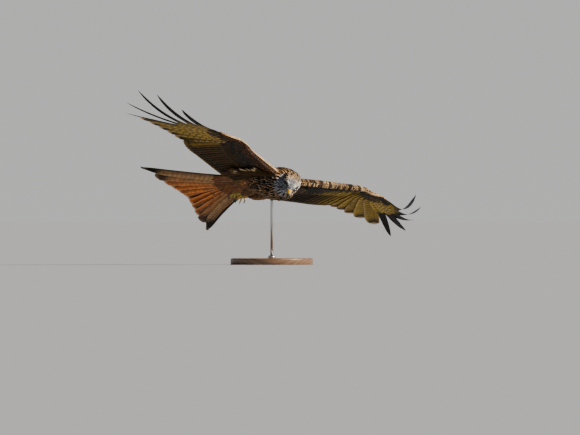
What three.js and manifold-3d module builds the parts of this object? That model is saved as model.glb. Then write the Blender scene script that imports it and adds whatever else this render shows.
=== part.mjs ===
// A red kite in a banked turn, life size, held by a plain display stand.
// Millimetres, +Z up. The origin is the centre of the stand's underside.
// The bird is built in its own frame, x forward, y to its left, z up, with o midway between
// the shoulders, and one group then banks it on the stand.

import * as THREE from "three";
import { mergeVertices } from "three/addons/utils/BufferGeometryUtils.js";
import Module from "manifold-3d";

const wasm = await Module();
wasm.setup();

// Driving dimensions of the bird and its attitude on the stand
const GAP = 0.3; // between neighbouring nodes
const HEADING = -49; // degrees from +X, seen from above
const PITCH = -0.8;
const BANK = 17.8; // left wing down
const BODY_HEIGHT = 300; // of the point between the shoulders, above the floor
const SUPPORT = { x: -52, y: 0, z: -30 }; // inside the belly, above the stand's centre

// Wing bones and feathers, as a red kite of 1.75 m span has them
const SHOULDER = { x: 20, y: 50, z: 20 };
const ARM = 300; // shoulder to wrist, wing open
const HAND = 108; // wrist to the end of the hand
const ARM_DEPTH = 262; // leading to trailing edge
const WRIST_BULGE = 12; // how far the front of the wrist stands forward
const PRIMARIES = 10;
const PRIMARY_ROOT = 8.8; // between neighbouring roots along the hand
const SECONDARIES = 13;
const ARM_COVERTS = 8; // on each face
const HAND_COVERTS = 5;
const VANE = 0.6; // thickness of a flight feather
const COVERT = 0.55; // thickness of a covert
const SHINGLE = 1.05; // height that each feather gains over the next one in its row

// Primaries 1 to 10, counted outwards: length, and angle back from the hand's line
const PRIMARY_LENGTH = [240, 250, 266, 290, 326, 388, 420, 428, 412, 322];
const PRIMARY_ANGLE = [79, 71, 62, 52, 41, 31, 23, 16, 10, 5];
const FINGERS = 5; // primaries 6 to 10 stand apart at the tip

// How each wing is held: sweep forward, dihedral and twist of arm and hand, and for the
// fingers, from primary 6 to 10, the upward bend and the turn away from the even fan
const WING_POSE = {
  left: {
    armSweep: 7.1, armDihedral: 12.2, armTwist: -12.7,
    handSweep: -7.2, handDihedral: 1.2, handTwist: -13.6,
    bend: [-9, 4, 19, 35, 53],
    turn: [-1.2, 0.9, 4.4, 6.5, 8],
  },
  right: {
    armSweep: 15.1, armDihedral: 6.9, armTwist: -7,
    handSweep: 15.1, handDihedral: -5.4, handTwist: 0.3,
    bend: [0, 10, 25.5, 21.5, 11.5],
    turn: [4.7, 4.2, 2.3, -5.3, -10.9],
  },
};

// Tail: a fan of twelve feathers with a forked end, lowered, turned and twisted as a rudder
const TAIL = { x: -200, z: 0, pitch: -15.4, yaw: 10.3, roll: -16.4, spread: 57.6, root: 4.8 };
const RECTRIX_LENGTH = [270, 278, 291, 309, 332, 362]; // from the middle pair outwards
const TAIL_CURVE = 40; // how far the outermost tail feathers bow towards the middle, times four
const RIGHT_CORNER = { longer: 14, wider: 1 }; // the tail's right corner reaches further

// Head: its centre in the bird's frame, and how it looks down and to the right
const HEAD = { x: 82, y: -29, z: -20, yaw: -38, pitch: 58, roll: -14 };
const EYE = { x: 12.5, y: 17.6, z: 3, radius: 6.6 };

// Body: sections as place along, centre height, half width, half height
const TORSO_SECTIONS = [
  [49, 4, 33, 32],
  [38, 1, 46, 46],
  [16, -3, 58, 57],
  [-15, -6, 62, 61],
  [-50, -7, 58, 58],
  [-90, -6, 49, 49],
  [-130, -4, 39, 39],
  [-165, -2, 29, 29],
  [-190, 0, 22, 21],
  [-203, 0, 18, 16],
];
const NECK = [
  [42, -3, 3, 41],
  [55, -9, 4, 37],
  [68, -17, 4, 33],
];
const RUMP = [
  [14, 0, 17, 13],
  [-8, 0, 26, 12],
  [-30, 0, 31, 8],
  [-48, 0, 30, 4],
  [-60, 0, 24, 1.5],
];

// Head sections, in the head's frame
const SKULL = [
  [-33, 0.5, 27, 26],
  [-26, 1.2, 29.5, 28.5],
  [-16, 2, 30, 29],
  [-6, 2.5, 28.5, 27.5],
  [5, 2.5, 25, 24],
  [15, 1.5, 20.5, 20],
  [24, -0.8, 15, 16],
  [30, -3, 11, 12],
];
const CERE = [
  [25, 0.3, 9.8, 8.6],
  [31, 0, 8.9, 8.5],
  [36.5, -0.5, 7.7, 8.1],
];
const BILL_UPPER = [
  [36.8, -0.8, 7.3, 7.8],
  [41, -1.6, 6.2, 7.1],
  [46, -3.4, 4.9, 6.2],
  [50.5, -6.4, 3.6, 5.2],
  [53.8, -10.6, 2.4, 4.4],
  [55.2, -15.6, 1.1, 2.6],
  [54.8, -19, 0.4, 0.8],
];
const BILL_LOWER = [
  [26, -11.8, 7.2, 2.7],
  [34, -11.9, 6.2, 2.4],
  [41, -12.2, 4.8, 1.9],
  [46.5, -12.8, 3.2, 1.3],
];
const MOUTH = -8.6; // height of the mouth's line

// Legs, as points along, outwards and up with a radius, and toes as aim, length and curl
const THIGH = [
  [-92, 26, -30, 14],
  [-120, 28, -40, 18],
  [-148, 25, -46, 16],
  [-172, 21, -49, 11],
  [-188, 19, -51, 7.5],
];
const SHANK = [
  [-176, 20, -49.5, 4.6],
  [-202, 18, -52, 4.4],
  [-222, 17, -53, 5.2],
];
const TOES = [
  { aim: -26, length: 26, curl: 13 },
  { aim: 0, length: 32, curl: 12 },
  { aim: 26, length: 27, curl: 13 },
  { aim: 150, length: 17, curl: 24 },
];

// Stand
const BASE = { radius: 150, height: 24, bevel: 5 };
const ROD = { radius: 5, collar: 13, collarHeight: 10 };

const rad = THREE.MathUtils.degToRad;
const mix = THREE.MathUtils.lerp;
const V = (x, y, z) => new THREE.Vector3(x, y, z);

// Closed solids and how they are joined and cut

// A closed surface through rings of points. Quads on the rings' second half are split along
// the other diagonal, so that thin rings have the same triangles on both faces.
function loft(rings) {
  const n = rings[0].length;
  const points = rings.flat();
  const faces = [];
  for (let k = 0; k + 1 < rings.length; k++) {
    for (let j = 0; j < n; j++) {
      const a = k * n + j;
      const b = k * n + ((j + 1) % n);
      const c = b + n;
      const d = a + n;
      if (j >= n / 2) faces.push(b, c, d, b, d, a);
      else faces.push(a, b, c, a, c, d);
    }
  }
  const end = (rings.length - 1) * n;
  for (let j = 1; j + 1 < n; j++) {
    faces.push(0, j + 1, j);
    faces.push(end, end + j, end + j + 1);
  }
  const geometry = new THREE.BufferGeometry().setFromPoints(points);
  geometry.setIndex(faces);
  return geometry;
}

function solid(geometry) {
  const bare = geometry.clone();
  bare.deleteAttribute("normal");
  bare.deleteAttribute("uv");
  const merged = mergeVertices(bare, 1e-4);
  const made = new wasm.Manifold(
    new wasm.Mesh({
      numProp: 3,
      vertProperties: merged.attributes.position.array,
      triVerts: new Uint32Array(merged.index.array),
    }),
  );
  if (made.volume() >= 0) return made;
  const flipped = merged.index.array.slice().reverse();
  return new wasm.Manifold(
    new wasm.Mesh({
      numProp: 3,
      vertProperties: merged.attributes.position.array,
      triVerts: new Uint32Array(flipped),
    }),
  );
}

function geometryOf(manifold) {
  const mesh = manifold.getMesh();
  const geometry = new THREE.BufferGeometry();
  geometry.setAttribute("position", new THREE.BufferAttribute(mesh.vertProperties, 3));
  geometry.setIndex(new THREE.BufferAttribute(mesh.triVerts, 1));
  return geometry;
}

// Only the largest closed surface, so that no sealed hollow or loose scrap stays.
function largest(manifold) {
  return manifold
    .decompose()
    .reduce((best, body) => (body.volume() > best.volume() ? body : best));
}

function fuse(geometries) {
  return largest(geometries.map(solid).reduce((sum, piece) => sum.add(piece)));
}

// Oval rings along a line, each [place, centre height, half width, half height].
function ovalRings(sections, sides, squareness, grow = 0) {
  return sections.map(([x, z, halfWidth, halfHeight, y = 0]) =>
    Array.from({ length: sides }, (_, j) => {
      const turn = (2 * Math.PI * j) / sides;
      const c = Math.cos(turn);
      const s = Math.sin(turn);
      const power = 2 / squareness;
      return V(
        x,
        y + Math.sign(c) * Math.abs(c) ** power * (halfWidth + grow),
        z + Math.sign(s) * Math.abs(s) ** power * (halfHeight + grow),
      );
    }),
  );
}

// Round rings along a bent line, each point with its radius.
function tube(points, radii, sides) {
  const side = V(0, 0, 1).cross(points[1].clone().sub(points[0]));
  const rings = points.map((p, k) => {
    const before = points[Math.max(k - 1, 0)];
    const after = points[Math.min(k + 1, points.length - 1)];
    const along = after.clone().sub(before).normalize();
    side.addScaledVector(along, -side.dot(along)).normalize();
    const up = along.clone().cross(side);
    return Array.from({ length: sides }, (_, j) => {
      const turn = (2 * Math.PI * j) / sides;
      return p
        .clone()
        .addScaledVector(side, Math.cos(turn) * radii[k])
        .addScaledVector(up, Math.sin(turn) * radii[k]);
    });
  });
  return loft(rings);
}

// Feathers

// One feather vane. It leaves root along a direction, spreads across it towards its outer
// edge, bends up by bend degrees, and lies tilted, so that a row overlaps like shingles.
function vane(feather) {
  const { root, along, up, length, outer, inner, thickness } = feather;
  const { bend = 0, curve = 0, tilt, steps } = feather;
  const { widthAt = roundTip, innerLimit = () => Infinity } = feather;
  const out = up.clone().cross(along).multiplyScalar(feather.side ?? -1).normalize();
  const rings = [];
  const p = root.clone();
  steps.forEach((u, k) => {
    const turn = rad(bend) * THREE.MathUtils.clamp((u - BEND_FROM) / (1 - BEND_FROM), 0, 1);
    const tangent = along.clone().multiplyScalar(Math.cos(turn)).addScaledVector(up, Math.sin(turn));
    const normal = up.clone().multiplyScalar(Math.cos(turn)).addScaledVector(along, -Math.sin(turn));
    if (k > 0) p.addScaledVector(tangent, length * (u - steps[k - 1]));
    const slope = tilt(u * length);
    const across = out.clone().addScaledVector(normal, slope).normalize();
    const width = widthAt(u);
    const half = normal.clone().multiplyScalar((thickness / 2) * (u > 0.95 ? 0.85 : 1));
    const centre = p.clone().addScaledVector(out, curve * (u * u - u));
    const edgeOut = centre.clone().addScaledVector(across, outer * width.outer);
    const reachIn = Math.min(inner * width.inner, innerLimit(u * length));
    const edgeIn = centre.clone().addScaledVector(across, -reachIn);
    rings.push([
      edgeOut.clone().add(half),
      edgeIn.clone().add(half),
      edgeIn.clone().sub(half),
      edgeOut.clone().sub(half),
    ]);
  });
  return loft(rings);
}

// Share of the full width at a place along a plain feather: narrow quill, broad vane, round tip.
function roundTip(u, quillEnd = 0.35) {
  const quill = THREE.MathUtils.smoothstep(u, 0, quillEnd);
  const tip = u < 0.8 ? 1 : Math.sqrt(Math.max(0, 1 - ((u - 0.8) / 0.2) ** 2));
  const share = Math.max(0.12, mix(0.26, 1, quill) * tip);
  return { outer: share, inner: share };
}

function covertTip(u) {
  return roundTip(u, 0.1);
}

// An inner primary's inner web is cut back in a long curve to its tip.
function slantTip(u) {
  const base = roundTip(u);
  const cut = THREE.MathUtils.clamp((u - 0.58) / 0.42, 0, 1);
  return { outer: base.outer, inner: Math.max(0.12, Math.min(base.inner, Math.sqrt(1 - cut * cut))) };
}

// A finger feather is notched half way, and runs on as a blade that tapers to a point.
function fingerTip(u) {
  const base = roundTip(u);
  const notch = THREE.MathUtils.smoothstep(u, 0.34, 0.5);
  const taper = 1 - 0.72 * THREE.MathUtils.clamp((u - 0.5) / 0.5, 0, 1) ** 1.8;
  return { outer: base.outer * taper * mix(1, 0.85, notch), inner: base.inner * taper * mix(1, 0.6, notch) };
}

// The outermost tail feather ends in the sharp corner of the fork.
function forkTip(u) {
  const base = roundTip(u);
  const point = THREE.MathUtils.smoothstep(u, 0.7, 1);
  return { outer: Math.max(base.outer, 0.6), inner: base.inner * mix(1, 0.35, point) };
}

const LONG_STEPS = [0, 0.12, 0.36, 0.54, 0.74, 0.92, 1];
const MID_STEPS = [0, 0.2, 0.8, 0.93, 1];
const SHORT_STEPS = [0, 0.7, 0.92, 1];
const BEND_FROM = 0.42; // share of a feather's length that stays straight

// Wings, built as left ones

// Axes of a stretch of wing: out along the bones, back across it, and up.
function wingAxes(sweep, dihedral, twist) {
  const turn = new THREE.Matrix4()
    .makeRotationX(rad(dihedral))
    .multiply(new THREE.Matrix4().makeRotationZ(-rad(sweep)));
  const out = V(0, 1, 0).applyMatrix4(turn);
  const back = V(-1, 0, 0).applyMatrix4(turn).applyAxisAngle(out, rad(twist));
  const up = V(0, 0, 1).applyMatrix4(turn).applyAxisAngle(out, rad(twist));
  return { out, back, up };
}

function wingFrame(pose) {
  const arm = wingAxes(pose.armSweep, pose.armDihedral, pose.armTwist);
  const hand = wingAxes(pose.handSweep, pose.handDihedral, pose.handTwist);
  const shoulder = V(SHOULDER.x, SHOULDER.y, SHOULDER.z);
  const wrist = shoulder.clone().addScaledVector(arm.out, ARM);
  return { arm, hand, shoulder, wrist, pose };
}

// How far behind the leading edge the flight feathers leave the arm, 1 at the wrist.
function rootBack(t) {
  return 16 + 130 * (1 - t) * (0.35 + 0.65 * t);
}

// The wing's flesh with its small coverts: half thickness and depth from front to back.
function fleshAt(t) {
  if (t <= 1) {
    return { depth: rootBack(t) + mix(34, 22, Math.max(t, 0)), half: mix(18, 9, Math.max(t, 0)) };
  }
  return { depth: mix(38, 14, t - 1), half: mix(9, 3.4, t - 1) };
}

const AEROFOIL = [
  [0, 0.3], [0.07, 0.75], [0.25, 1], [0.55, 0.72], [0.85, 0.3], [1, 0.16],
];

function wingFlesh(frame) {
  const stations = [-0.22, 0, 0.25, 0.5, 0.75, 0.93, 1.07, 1.35, 1.7, 1.97];
  return loft(
    stations.map((t) => {
      const onHand = THREE.MathUtils.smoothstep(t, 0.93, 1.07);
      const out = frame.arm.out.clone().lerp(frame.hand.out, onHand).normalize();
      const back = frame.arm.back.clone().lerp(frame.hand.back, onHand).normalize();
      const up = back.clone().cross(out).multiplyScalar(-1).normalize();
      const p = t <= 1
        ? frame.shoulder.clone().addScaledVector(frame.arm.out, ARM * t)
        : frame.wrist.clone().addScaledVector(frame.hand.out, HAND * (t - 1));
      const { depth, half } = fleshAt(t);
      p.addScaledVector(back, -WRIST_BULGE * Math.exp(-(((t - 0.86) / 0.16) ** 2)));
      const side = (sign) =>
        AEROFOIL.map(([x, z]) =>
          p.clone()
            .addScaledVector(back, x * depth)
            .addScaledVector(up, sign * z * half + 1.5 * Math.sin(Math.PI * x)),
        );
      return [...side(1), ...side(-1).reverse()];
    }),
  );
}

// The direction straight back along the body, laid into the plane of the arm.
function bodyBack(frame) {
  const { up } = frame.arm;
  const back = V(-1, 0, 0);
  return back.addScaledVector(up, -back.dot(up)).normalize();
}

function secondaryDirection(frame, t) {
  return bodyBack(frame)
    .multiplyScalar(1 - 0.35 * t)
    .addScaledVector(frame.arm.back, 0.35 * t)
    .addScaledVector(frame.arm.out, 0.12 * t)
    .normalize();
}

function secondary(frame, t, { half, lift = 0, setBack = 0, ...options }) {
  const along = secondaryDirection(frame, t);
  return vane({
    root: frame.shoulder
      .clone()
      .addScaledVector(frame.arm.out, ARM * t)
      .addScaledVector(frame.arm.back, rootBack(t) + setBack)
      .addScaledVector(frame.arm.up, lift),
    along,
    up: frame.arm.up,
    outer: half * 0.8,
    inner: half * 1.2,
    thickness: VANE,
    bend: -3,
    ...options,
  });
}

function armFeathers(frame) {
  const pieces = [];
  const pitch = (ARM * 0.94) / (SECONDARIES - 1);
  const tilt = () => SHINGLE / pitch;
  for (let k = 0; k < SECONDARIES; k++) {
    const t = mix(0.99, 0.03, k / (SECONDARIES - 1));
    const length = mix(228, ARM_DEPTH - rootBack(t), Math.min(1, 3 * (1 - t))) * (t < 0.12 ? 0.93 : 1);
    const outer = k === 0 ? 33 : 19;
    pieces.push(secondary(frame, t, { length, half: 24, outer, tilt, steps: MID_STEPS, setBack: -4 }));
  }
  const covertPitch = (ARM * 0.94) / (ARM_COVERTS - 1);
  for (let k = 0; k < ARM_COVERTS; k++) {
    const t = mix(0.98, 0.03, k / (ARM_COVERTS - 1));
    for (const side of [1, -1]) {
      pieces.push(
        secondary(frame, t, {
          length: 92 + 10 * (1 - t),
          half: 24,
          lift: side * 2.6,
          setBack: -22,
          thickness: COVERT,
          tilt: () => SHINGLE / covertPitch,
          steps: SHORT_STEPS,
          widthAt: covertTip,
        }),
      );
    }
  }
  return pieces;
}

// Angle between the hand's line and a primary. The inner ones fill the fan up to the arm's.
function primaryAngle(frame, i) {
  if (!Number.isInteger(i)) {
    const below = Math.floor(i);
    return mix(primaryAngle(frame, below), primaryAngle(frame, below + 1), i - below);
  }
  const finger = i - (PRIMARIES - FINGERS) - 1;
  if (finger >= 0) return PRIMARY_ANGLE[i - 1] + frame.pose.turn[finger];
  const nextToArm = THREE.MathUtils.radToDeg(secondaryDirection(frame, 1).angleTo(frame.hand.out));
  const firstTurn = nextToArm - 4 - PRIMARY_ANGLE[0];
  return PRIMARY_ANGLE[i - 1] + mix(firstTurn, frame.pose.turn[0], (i - 1) / 5);
}

// The inner primaries lie near the plane of the arm's feathers, the fingers in the hand's.
function primary(frame, i, options) {
  const angle = rad(primaryAngle(frame, i));
  const up = frame.arm.up.clone().lerp(frame.hand.up, Math.min(1, i / 6)).normalize();
  const along = frame.hand.out
    .clone()
    .multiplyScalar(Math.cos(angle))
    .addScaledVector(frame.hand.back, Math.sin(angle));
  along.addScaledVector(up, -along.dot(up)).normalize();
  return {
    root: frame.wrist
      .clone()
      .addScaledVector(frame.hand.out, 10 + PRIMARY_ROOT * i)
      .addScaledVector(frame.hand.back, 15 - 0.6 * i),
    along,
    up,
    thickness: VANE,
    ...options,
  };
}

// Distance between neighbouring primaries at a distance from their roots.
function primaryPitch(frame, i, distance) {
  const lower = primaryAngle(frame, Math.max(i - 1, 1));
  const upper = primaryAngle(frame, Math.max(i, 2));
  return PRIMARY_ROOT * Math.sin(rad((lower + upper) / 2)) + distance * rad(lower - upper);
}

function handFeathers(frame) {
  const pieces = [];
  for (let i = 1; i <= PRIMARIES; i++) {
    const finger = i - (PRIMARIES - FINGERS) - 1;
    const tilt = (distance) => Math.min(0.4, SHINGLE / Math.max(3, primaryPitch(frame, i, distance)));
    const bend = finger >= 0 ? frame.pose.bend[finger] : frame.pose.bend[0] * 0.5 * (i / 6) ** 2;
    const length = PRIMARY_LENGTH[i - 1];
    pieces.push(
      vane(
        primary(frame, i, {
          length,
          outer: finger >= 0 ? 11 : 19,
          inner: finger >= 0 ? 29 : 37,
          bend,
          tilt,
          steps: LONG_STEPS,
          widthAt: finger >= 0 ? fingerTip : slantTip,
        }),
      ),
    );
  }
  for (let k = 0; k < HAND_COVERTS; k++) {
    const i = mix(1.3, PRIMARIES - 0.8, k / (HAND_COVERTS - 1));
    for (const side of [1, -1]) {
      const covert = primary(frame, i, {
        length: 66 + 3.4 * i,
        outer: 13,
        inner: 19,
        thickness: COVERT,
        tilt: () => 0.06,
        steps: SHORT_STEPS,
        widthAt: covertTip,
      });
      covert.root.addScaledVector(covert.up, side * 2.6).addScaledVector(covert.along, -12);
      pieces.push(vane(covert));
    }
  }
  // Three short feathers of the thumb lie over the front of the hand.
  for (let k = 0; k < 3; k++) {
    const along = frame.hand.out
      .clone()
      .addScaledVector(frame.hand.back, 0.12 + 0.07 * k)
      .addScaledVector(frame.hand.up, 0.05)
      .normalize();
    pieces.push(
      vane({
        root: frame.wrist
          .clone()
          .addScaledVector(frame.hand.out, 8)
          .addScaledVector(frame.hand.back, 6 + 5 * k)
          .addScaledVector(frame.hand.up, 5.5 - 0.4 * k),
        along,
        up: frame.hand.up,
        length: 92 - 14 * k,
        outer: 7,
        inner: 12,
        thickness: COVERT,
        tilt: () => 0.06,
        steps: SHORT_STEPS,
      }),
    );
  }
  return pieces;
}

// The plane between the arm's and the hand's feathers.
function wristPlane(frame) {
  const along = secondaryDirection(frame, 1).add(primary(frame, 1, {}).along).normalize();
  const normal = along.clone().cross(frame.arm.up).normalize();
  if (normal.dot(frame.arm.out) < 0) normal.negate();
  return { normal, offset: normal.dot(frame.wrist) + 8 };
}

function wing(side) {
  const frame = wingFrame(WING_POSE[side]);
  const { normal, offset } = wristPlane(frame);
  const torso = solid(loft(torsoRings(GAP)));
  const arm = fuse([wingFlesh(frame), ...armFeathers(frame)])
    .subtract(torso)
    .trimByPlane(normal.clone().negate().toArray(), -(offset - GAP / 2));
  const hand = fuse([wingFlesh(frame), ...handFeathers(frame)])
    .trimByPlane(normal.toArray(), offset + GAP / 2);
  const place = (made) => (side === "left" ? geometryOf(made) : mirrored(geometryOf(made)));
  return { arm: place(largest(arm)), hand: place(largest(hand)) };
}

function mirrored(geometry) {
  geometry.applyMatrix4(new THREE.Matrix4().makeScale(1, -1, 1));
  geometry.index.array.reverse();
  return geometry;
}

// Torso, neck and head

function torsoRings(grow = 0) {
  return ovalRings(TORSO_SECTIONS, 20, 2.15, grow);
}

function headMatrix() {
  return new THREE.Matrix4()
    .makeTranslation(HEAD.x, HEAD.y, HEAD.z)
    .multiply(
      new THREE.Matrix4().makeRotationFromEuler(
        new THREE.Euler(rad(HEAD.roll), rad(HEAD.pitch), rad(HEAD.yaw), "ZYX"),
      ),
    );
}

// The neck is short and thick, three rounded masses from the breast to the back of the head.
function neck(torso, head) {
  const masses = NECK.map(([x, y, z, radius]) =>
    new THREE.SphereGeometry(radius, 12, 8).translate(x, y, z),
  );
  return fuse(masses).subtract(torso).subtract(head);
}

// Head, in its own frame: x along the bill, y to its left, z to the crown

function ball(x, y, z, rx, ry, rz, sides = 16) {
  return new THREE.SphereGeometry(1, sides, Math.round(sides * 0.6)).scale(rx, ry, rz).translate(x, y, z);
}

function eyeBall(sign, grow = 0) {
  const radius = EYE.radius + grow;
  return ball(EYE.x, sign * EYE.y, EYE.z, radius, radius, radius, 14);
}

function lidRing(sign) {
  return new THREE.TorusGeometry(EYE.radius - 0.2, 1.5, 4, 14)
    .rotateX(Math.PI / 2)
    .rotateZ(-sign * rad(14))
    .translate(EYE.x, sign * (EYE.y + 3.1), EYE.z);
}

function brow(sign) {
  return ball(0, 0, 0, 10, 3, 2.6, 10)
    .rotateY(rad(12))
    .rotateZ(-sign * rad(20))
    .translate(EYE.x - 0.5, sign * (EYE.y + 2.2), EYE.z + 7.6);
}

function headSolid(grow = 0) {
  let made = solid(loft(ovalRings(SKULL, 20, 2.1, grow)));
  if (grow > 0) return made;
  for (const sign of [1, -1]) {
    made = made.add(solid(lidRing(sign))).add(solid(brow(sign)));
  }
  for (const sign of [1, -1]) {
    made = made.subtract(solid(eyeBall(sign, GAP)));
    const gape = new THREE.BoxGeometry(17, 6, 0.9)
      .rotateY(rad(-8))
      .translate(22.5, sign * 17, MOUTH - 0.6);
    made = made.subtract(solid(gape.rotateZ(-sign * rad(4))));
  }
  return largest(made);
}

function cereSolid(head) {
  const cere = solid(loft(ovalRings(CERE, 16, 2.2)));
  let made = cere.subtract(head);
  for (const sign of [1, -1]) {
    made = made.subtract(solid(ball(33.4, sign * 7.4, 2.2, 2.3, 1.6, 1.2, 10)));
  }
  return largest(made);
}

// Legs, tucked back under the tail

function thigh(sign, torso) {
  const points = THIGH.map(([x, y, z]) => V(x, sign * y, z));
  return largest(solid(tube(points, THIGH.map((p) => p[3]), 14)).subtract(torso));
}

function footPieces(sign, leg) {
  const shank = SHANK.map(([x, y, z]) => V(x, sign * y, z));
  const pieces = [tube(shank, SHANK.map((p) => p[3]), 8)];
  const ankle = shank.at(-1);
  const claws = [];
  TOES.forEach(({ aim, length, curl }) => {
    const points = [ankle.clone()];
    const heading = rad(aim);
    for (let k = 1; k <= 4; k++) {
      const drop = rad(curl * (k - 0.5));
      points.push(
        points.at(-1).clone().add(
          V(
            -Math.cos(heading) * Math.cos(drop),
            sign * Math.sin(heading) * Math.cos(drop),
            -Math.sin(drop),
          ).multiplyScalar(length / 4),
        ),
      );
    }
    pieces.push(tube(points, [4, 3.4, 3.2, 3, 2.7], 6));
    claws.push(claw(points.at(-1), heading, curl, sign));
  });
  return { foot: fuse(pieces).subtract(leg), claws };
}

function claw(from, heading, curl, sign) {
  const points = [];
  const p = from.clone();
  for (let k = 0; k <= 4; k++) {
    const drop = rad(curl * 3.5 + 24 * Math.max(0, k - 1));
    const step = V(
      -Math.cos(heading) * Math.cos(drop),
      sign * Math.sin(heading) * Math.cos(drop),
      -Math.sin(drop),
    );
    p.addScaledVector(step, k === 0 ? GAP : 3.6);
    points.push(p.clone());
  }
  return tube(points, [2.3, 2, 1.6, 1, 0.25], 6);
}

// Tail

function tailMatrix() {
  return new THREE.Matrix4()
    .makeTranslation(TAIL.x, 0, TAIL.z)
    .multiply(
      new THREE.Matrix4().makeRotationFromEuler(
        new THREE.Euler(rad(TAIL.roll), rad(TAIL.pitch), rad(TAIL.yaw), "ZYX"),
      ),
    );
}

// A feather of the tail's fan, rank 1 in the middle to 6 outside.
function tailFeather(rank, sign, options) {
  const step = TAIL.spread / 11;
  const wider = rank === RECTRIX_LENGTH.length && sign < 0 ? RIGHT_CORNER.wider : 0;
  const angle = rad(step * (rank - 0.5) + wider);
  const pitch = (distance) => TAIL.root + distance * rad(step);
  const topmost = rank === 1 && sign > 0;
  return vane({
    root: V(
      -6 - options.setBack,
      sign * TAIL.root * (rank - 0.5),
      (options.lift ?? 0) + (topmost ? 1.5 : 0),
    ),
    along: V(-Math.cos(angle), sign * Math.sin(angle), 0),
    up: V(0, 0, 1),
    side: -sign,
    thickness: VANE,
    tilt: (distance) => (topmost ? 0 : Math.min(0.35, SHINGLE / pitch(distance))),
    innerLimit: (distance) =>
      topmost ? Infinity : Math.max(2, TAIL.root * (rank - 0.5) + distance * Math.sin(angle) - 0.5),
    ...options,
  });
}

function tail(torso) {
  const rump = ovalRings(RUMP, 14, 2.1);
  const pieces = [loft(rump)];
  for (const sign of [1, -1]) {
    for (let rank = 1; rank <= RECTRIX_LENGTH.length; rank++) {
      const outermost = rank === RECTRIX_LENGTH.length;
      pieces.push(
        tailFeather(rank, sign, {
          setBack: 0,
          length: RECTRIX_LENGTH[rank - 1] + (outermost && sign < 0 ? RIGHT_CORNER.longer : 0),
          curve: TAIL_CURVE * (rank / RECTRIX_LENGTH.length) ** 2,
          outer: outermost ? 13 : 21,
          inner: 27,
          bend: -2,
          steps: LONG_STEPS,
          widthAt: outermost ? forkTip : roundTip,
        }),
      );
    }
    for (let rank = 1; rank < 6; rank += 1.4) {
      for (const face of [1, -1]) {
        pieces.push(
          tailFeather(rank, sign, {
            setBack: 6,
            lift: face * 4.6,
            length: (face > 0 ? 112 : 138) - 9 * (rank - 1),
            outer: 19,
            inner: 19,
            thickness: COVERT,
            tilt: () => 0.05,
            steps: SHORT_STEPS,
            widthAt: covertTip,
          }),
        );
      }
    }
  }
  const fan = pieces.map((piece) => piece.applyMatrix4(tailMatrix()));
  return largest(fuse(fan).subtract(torso));
}

// Materials, one for each mesh

function mesh(name, geometry, color, roughness = 0.8, metalness = 0) {
  const material = new THREE.MeshStandardMaterial({ color, roughness, metalness });
  material.flatShading = true;
  const made = new THREE.Mesh(geometry, material);
  made.name = name;
  return made;
}

const COLOR = {
  rufous: 0x8a4a26,
  breast: 0x9a5a30,
  head: 0xc9c2b4,
  arm: 0x6a4a34,
  hand: 0x4a4038,
  tail: 0xc0652e,
  cere: 0xd9b23a,
  horn: 0x2a2724,
  iris: 0xd8c684,
  skin: 0xe0b63c,
  wood: 0xa98a63,
  steel: 0x9a9ca0,
};

// The bird, in its own frame

const bird = new THREE.Group();
const torsoGrown = solid(loft(torsoRings(GAP)));
const headPlace = headMatrix();
const inHead = (made) => geometryOf(made).applyMatrix4(headPlace);
const head = headSolid();
const headGrown = solid(inHead(headSolid(GAP)));

const torso = largest(solid(loft(torsoRings())).subtract(headGrown));
bird.add(mesh("torso", geometryOf(torso), COLOR.breast));
bird.add(mesh("neck", geometryOf(largest(neck(torsoGrown, headGrown))), COLOR.head));
bird.add(mesh("head", inHead(head), COLOR.head));
bird.add(mesh("cere", inHead(cereSolid(headSolid(GAP))), COLOR.cere, 0.5));
bird.add(mesh("bill_upper", inHead(solid(loft(ovalRings(BILL_UPPER, 16, 2.2)))), COLOR.horn, 0.35));
bird.add(
  mesh(
    "bill_lower",
    inHead(largest(solid(loft(ovalRings(BILL_LOWER, 12, 2.2))).subtract(headSolid(GAP)))),
    COLOR.horn,
    0.35,
  ),
);

for (const side of ["left", "right"]) {
  const sign = side === "left" ? 1 : -1;
  bird.add(mesh(`eye_${side}`, inHead(solid(eyeBall(sign))), COLOR.iris, 0.15));

  const { arm, hand } = wing(side);
  bird.add(mesh(`wing_arm_${side}`, arm, COLOR.arm));
  bird.add(mesh(`wing_hand_${side}`, hand, COLOR.hand));

  const leg = thigh(sign, torsoGrown);
  bird.add(mesh(`leg_${side}`, geometryOf(leg), COLOR.rufous));
  const legGrown = solid(tube(THIGH.map(([x, y, z]) => V(x, sign * y, z)), THIGH.map((p) => p[3] + GAP), 14));
  const { foot, claws } = footPieces(sign, legGrown);
  bird.add(mesh(`foot_${side}`, geometryOf(largest(foot)), COLOR.skin, 0.6));
  claws.forEach((piece, k) => {
    bird.add(mesh(`claw_${side}_${k + 1}`, geometryOf(solid(piece)), COLOR.horn, 0.4));
  });
}

bird.add(mesh("tail", geometryOf(tail(torsoGrown)), COLOR.tail));

bird.rotation.set(rad(-BANK), rad(-PITCH), rad(HEADING), "ZYX");
const support = V(SUPPORT.x, SUPPORT.y, SUPPORT.z).applyEuler(bird.rotation);
bird.position.set(-support.x, -support.y, BODY_HEIGHT);
bird.updateMatrixWorld(true);

// The stand: a round wooden base, a collar and one steel rod up to the belly

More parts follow.
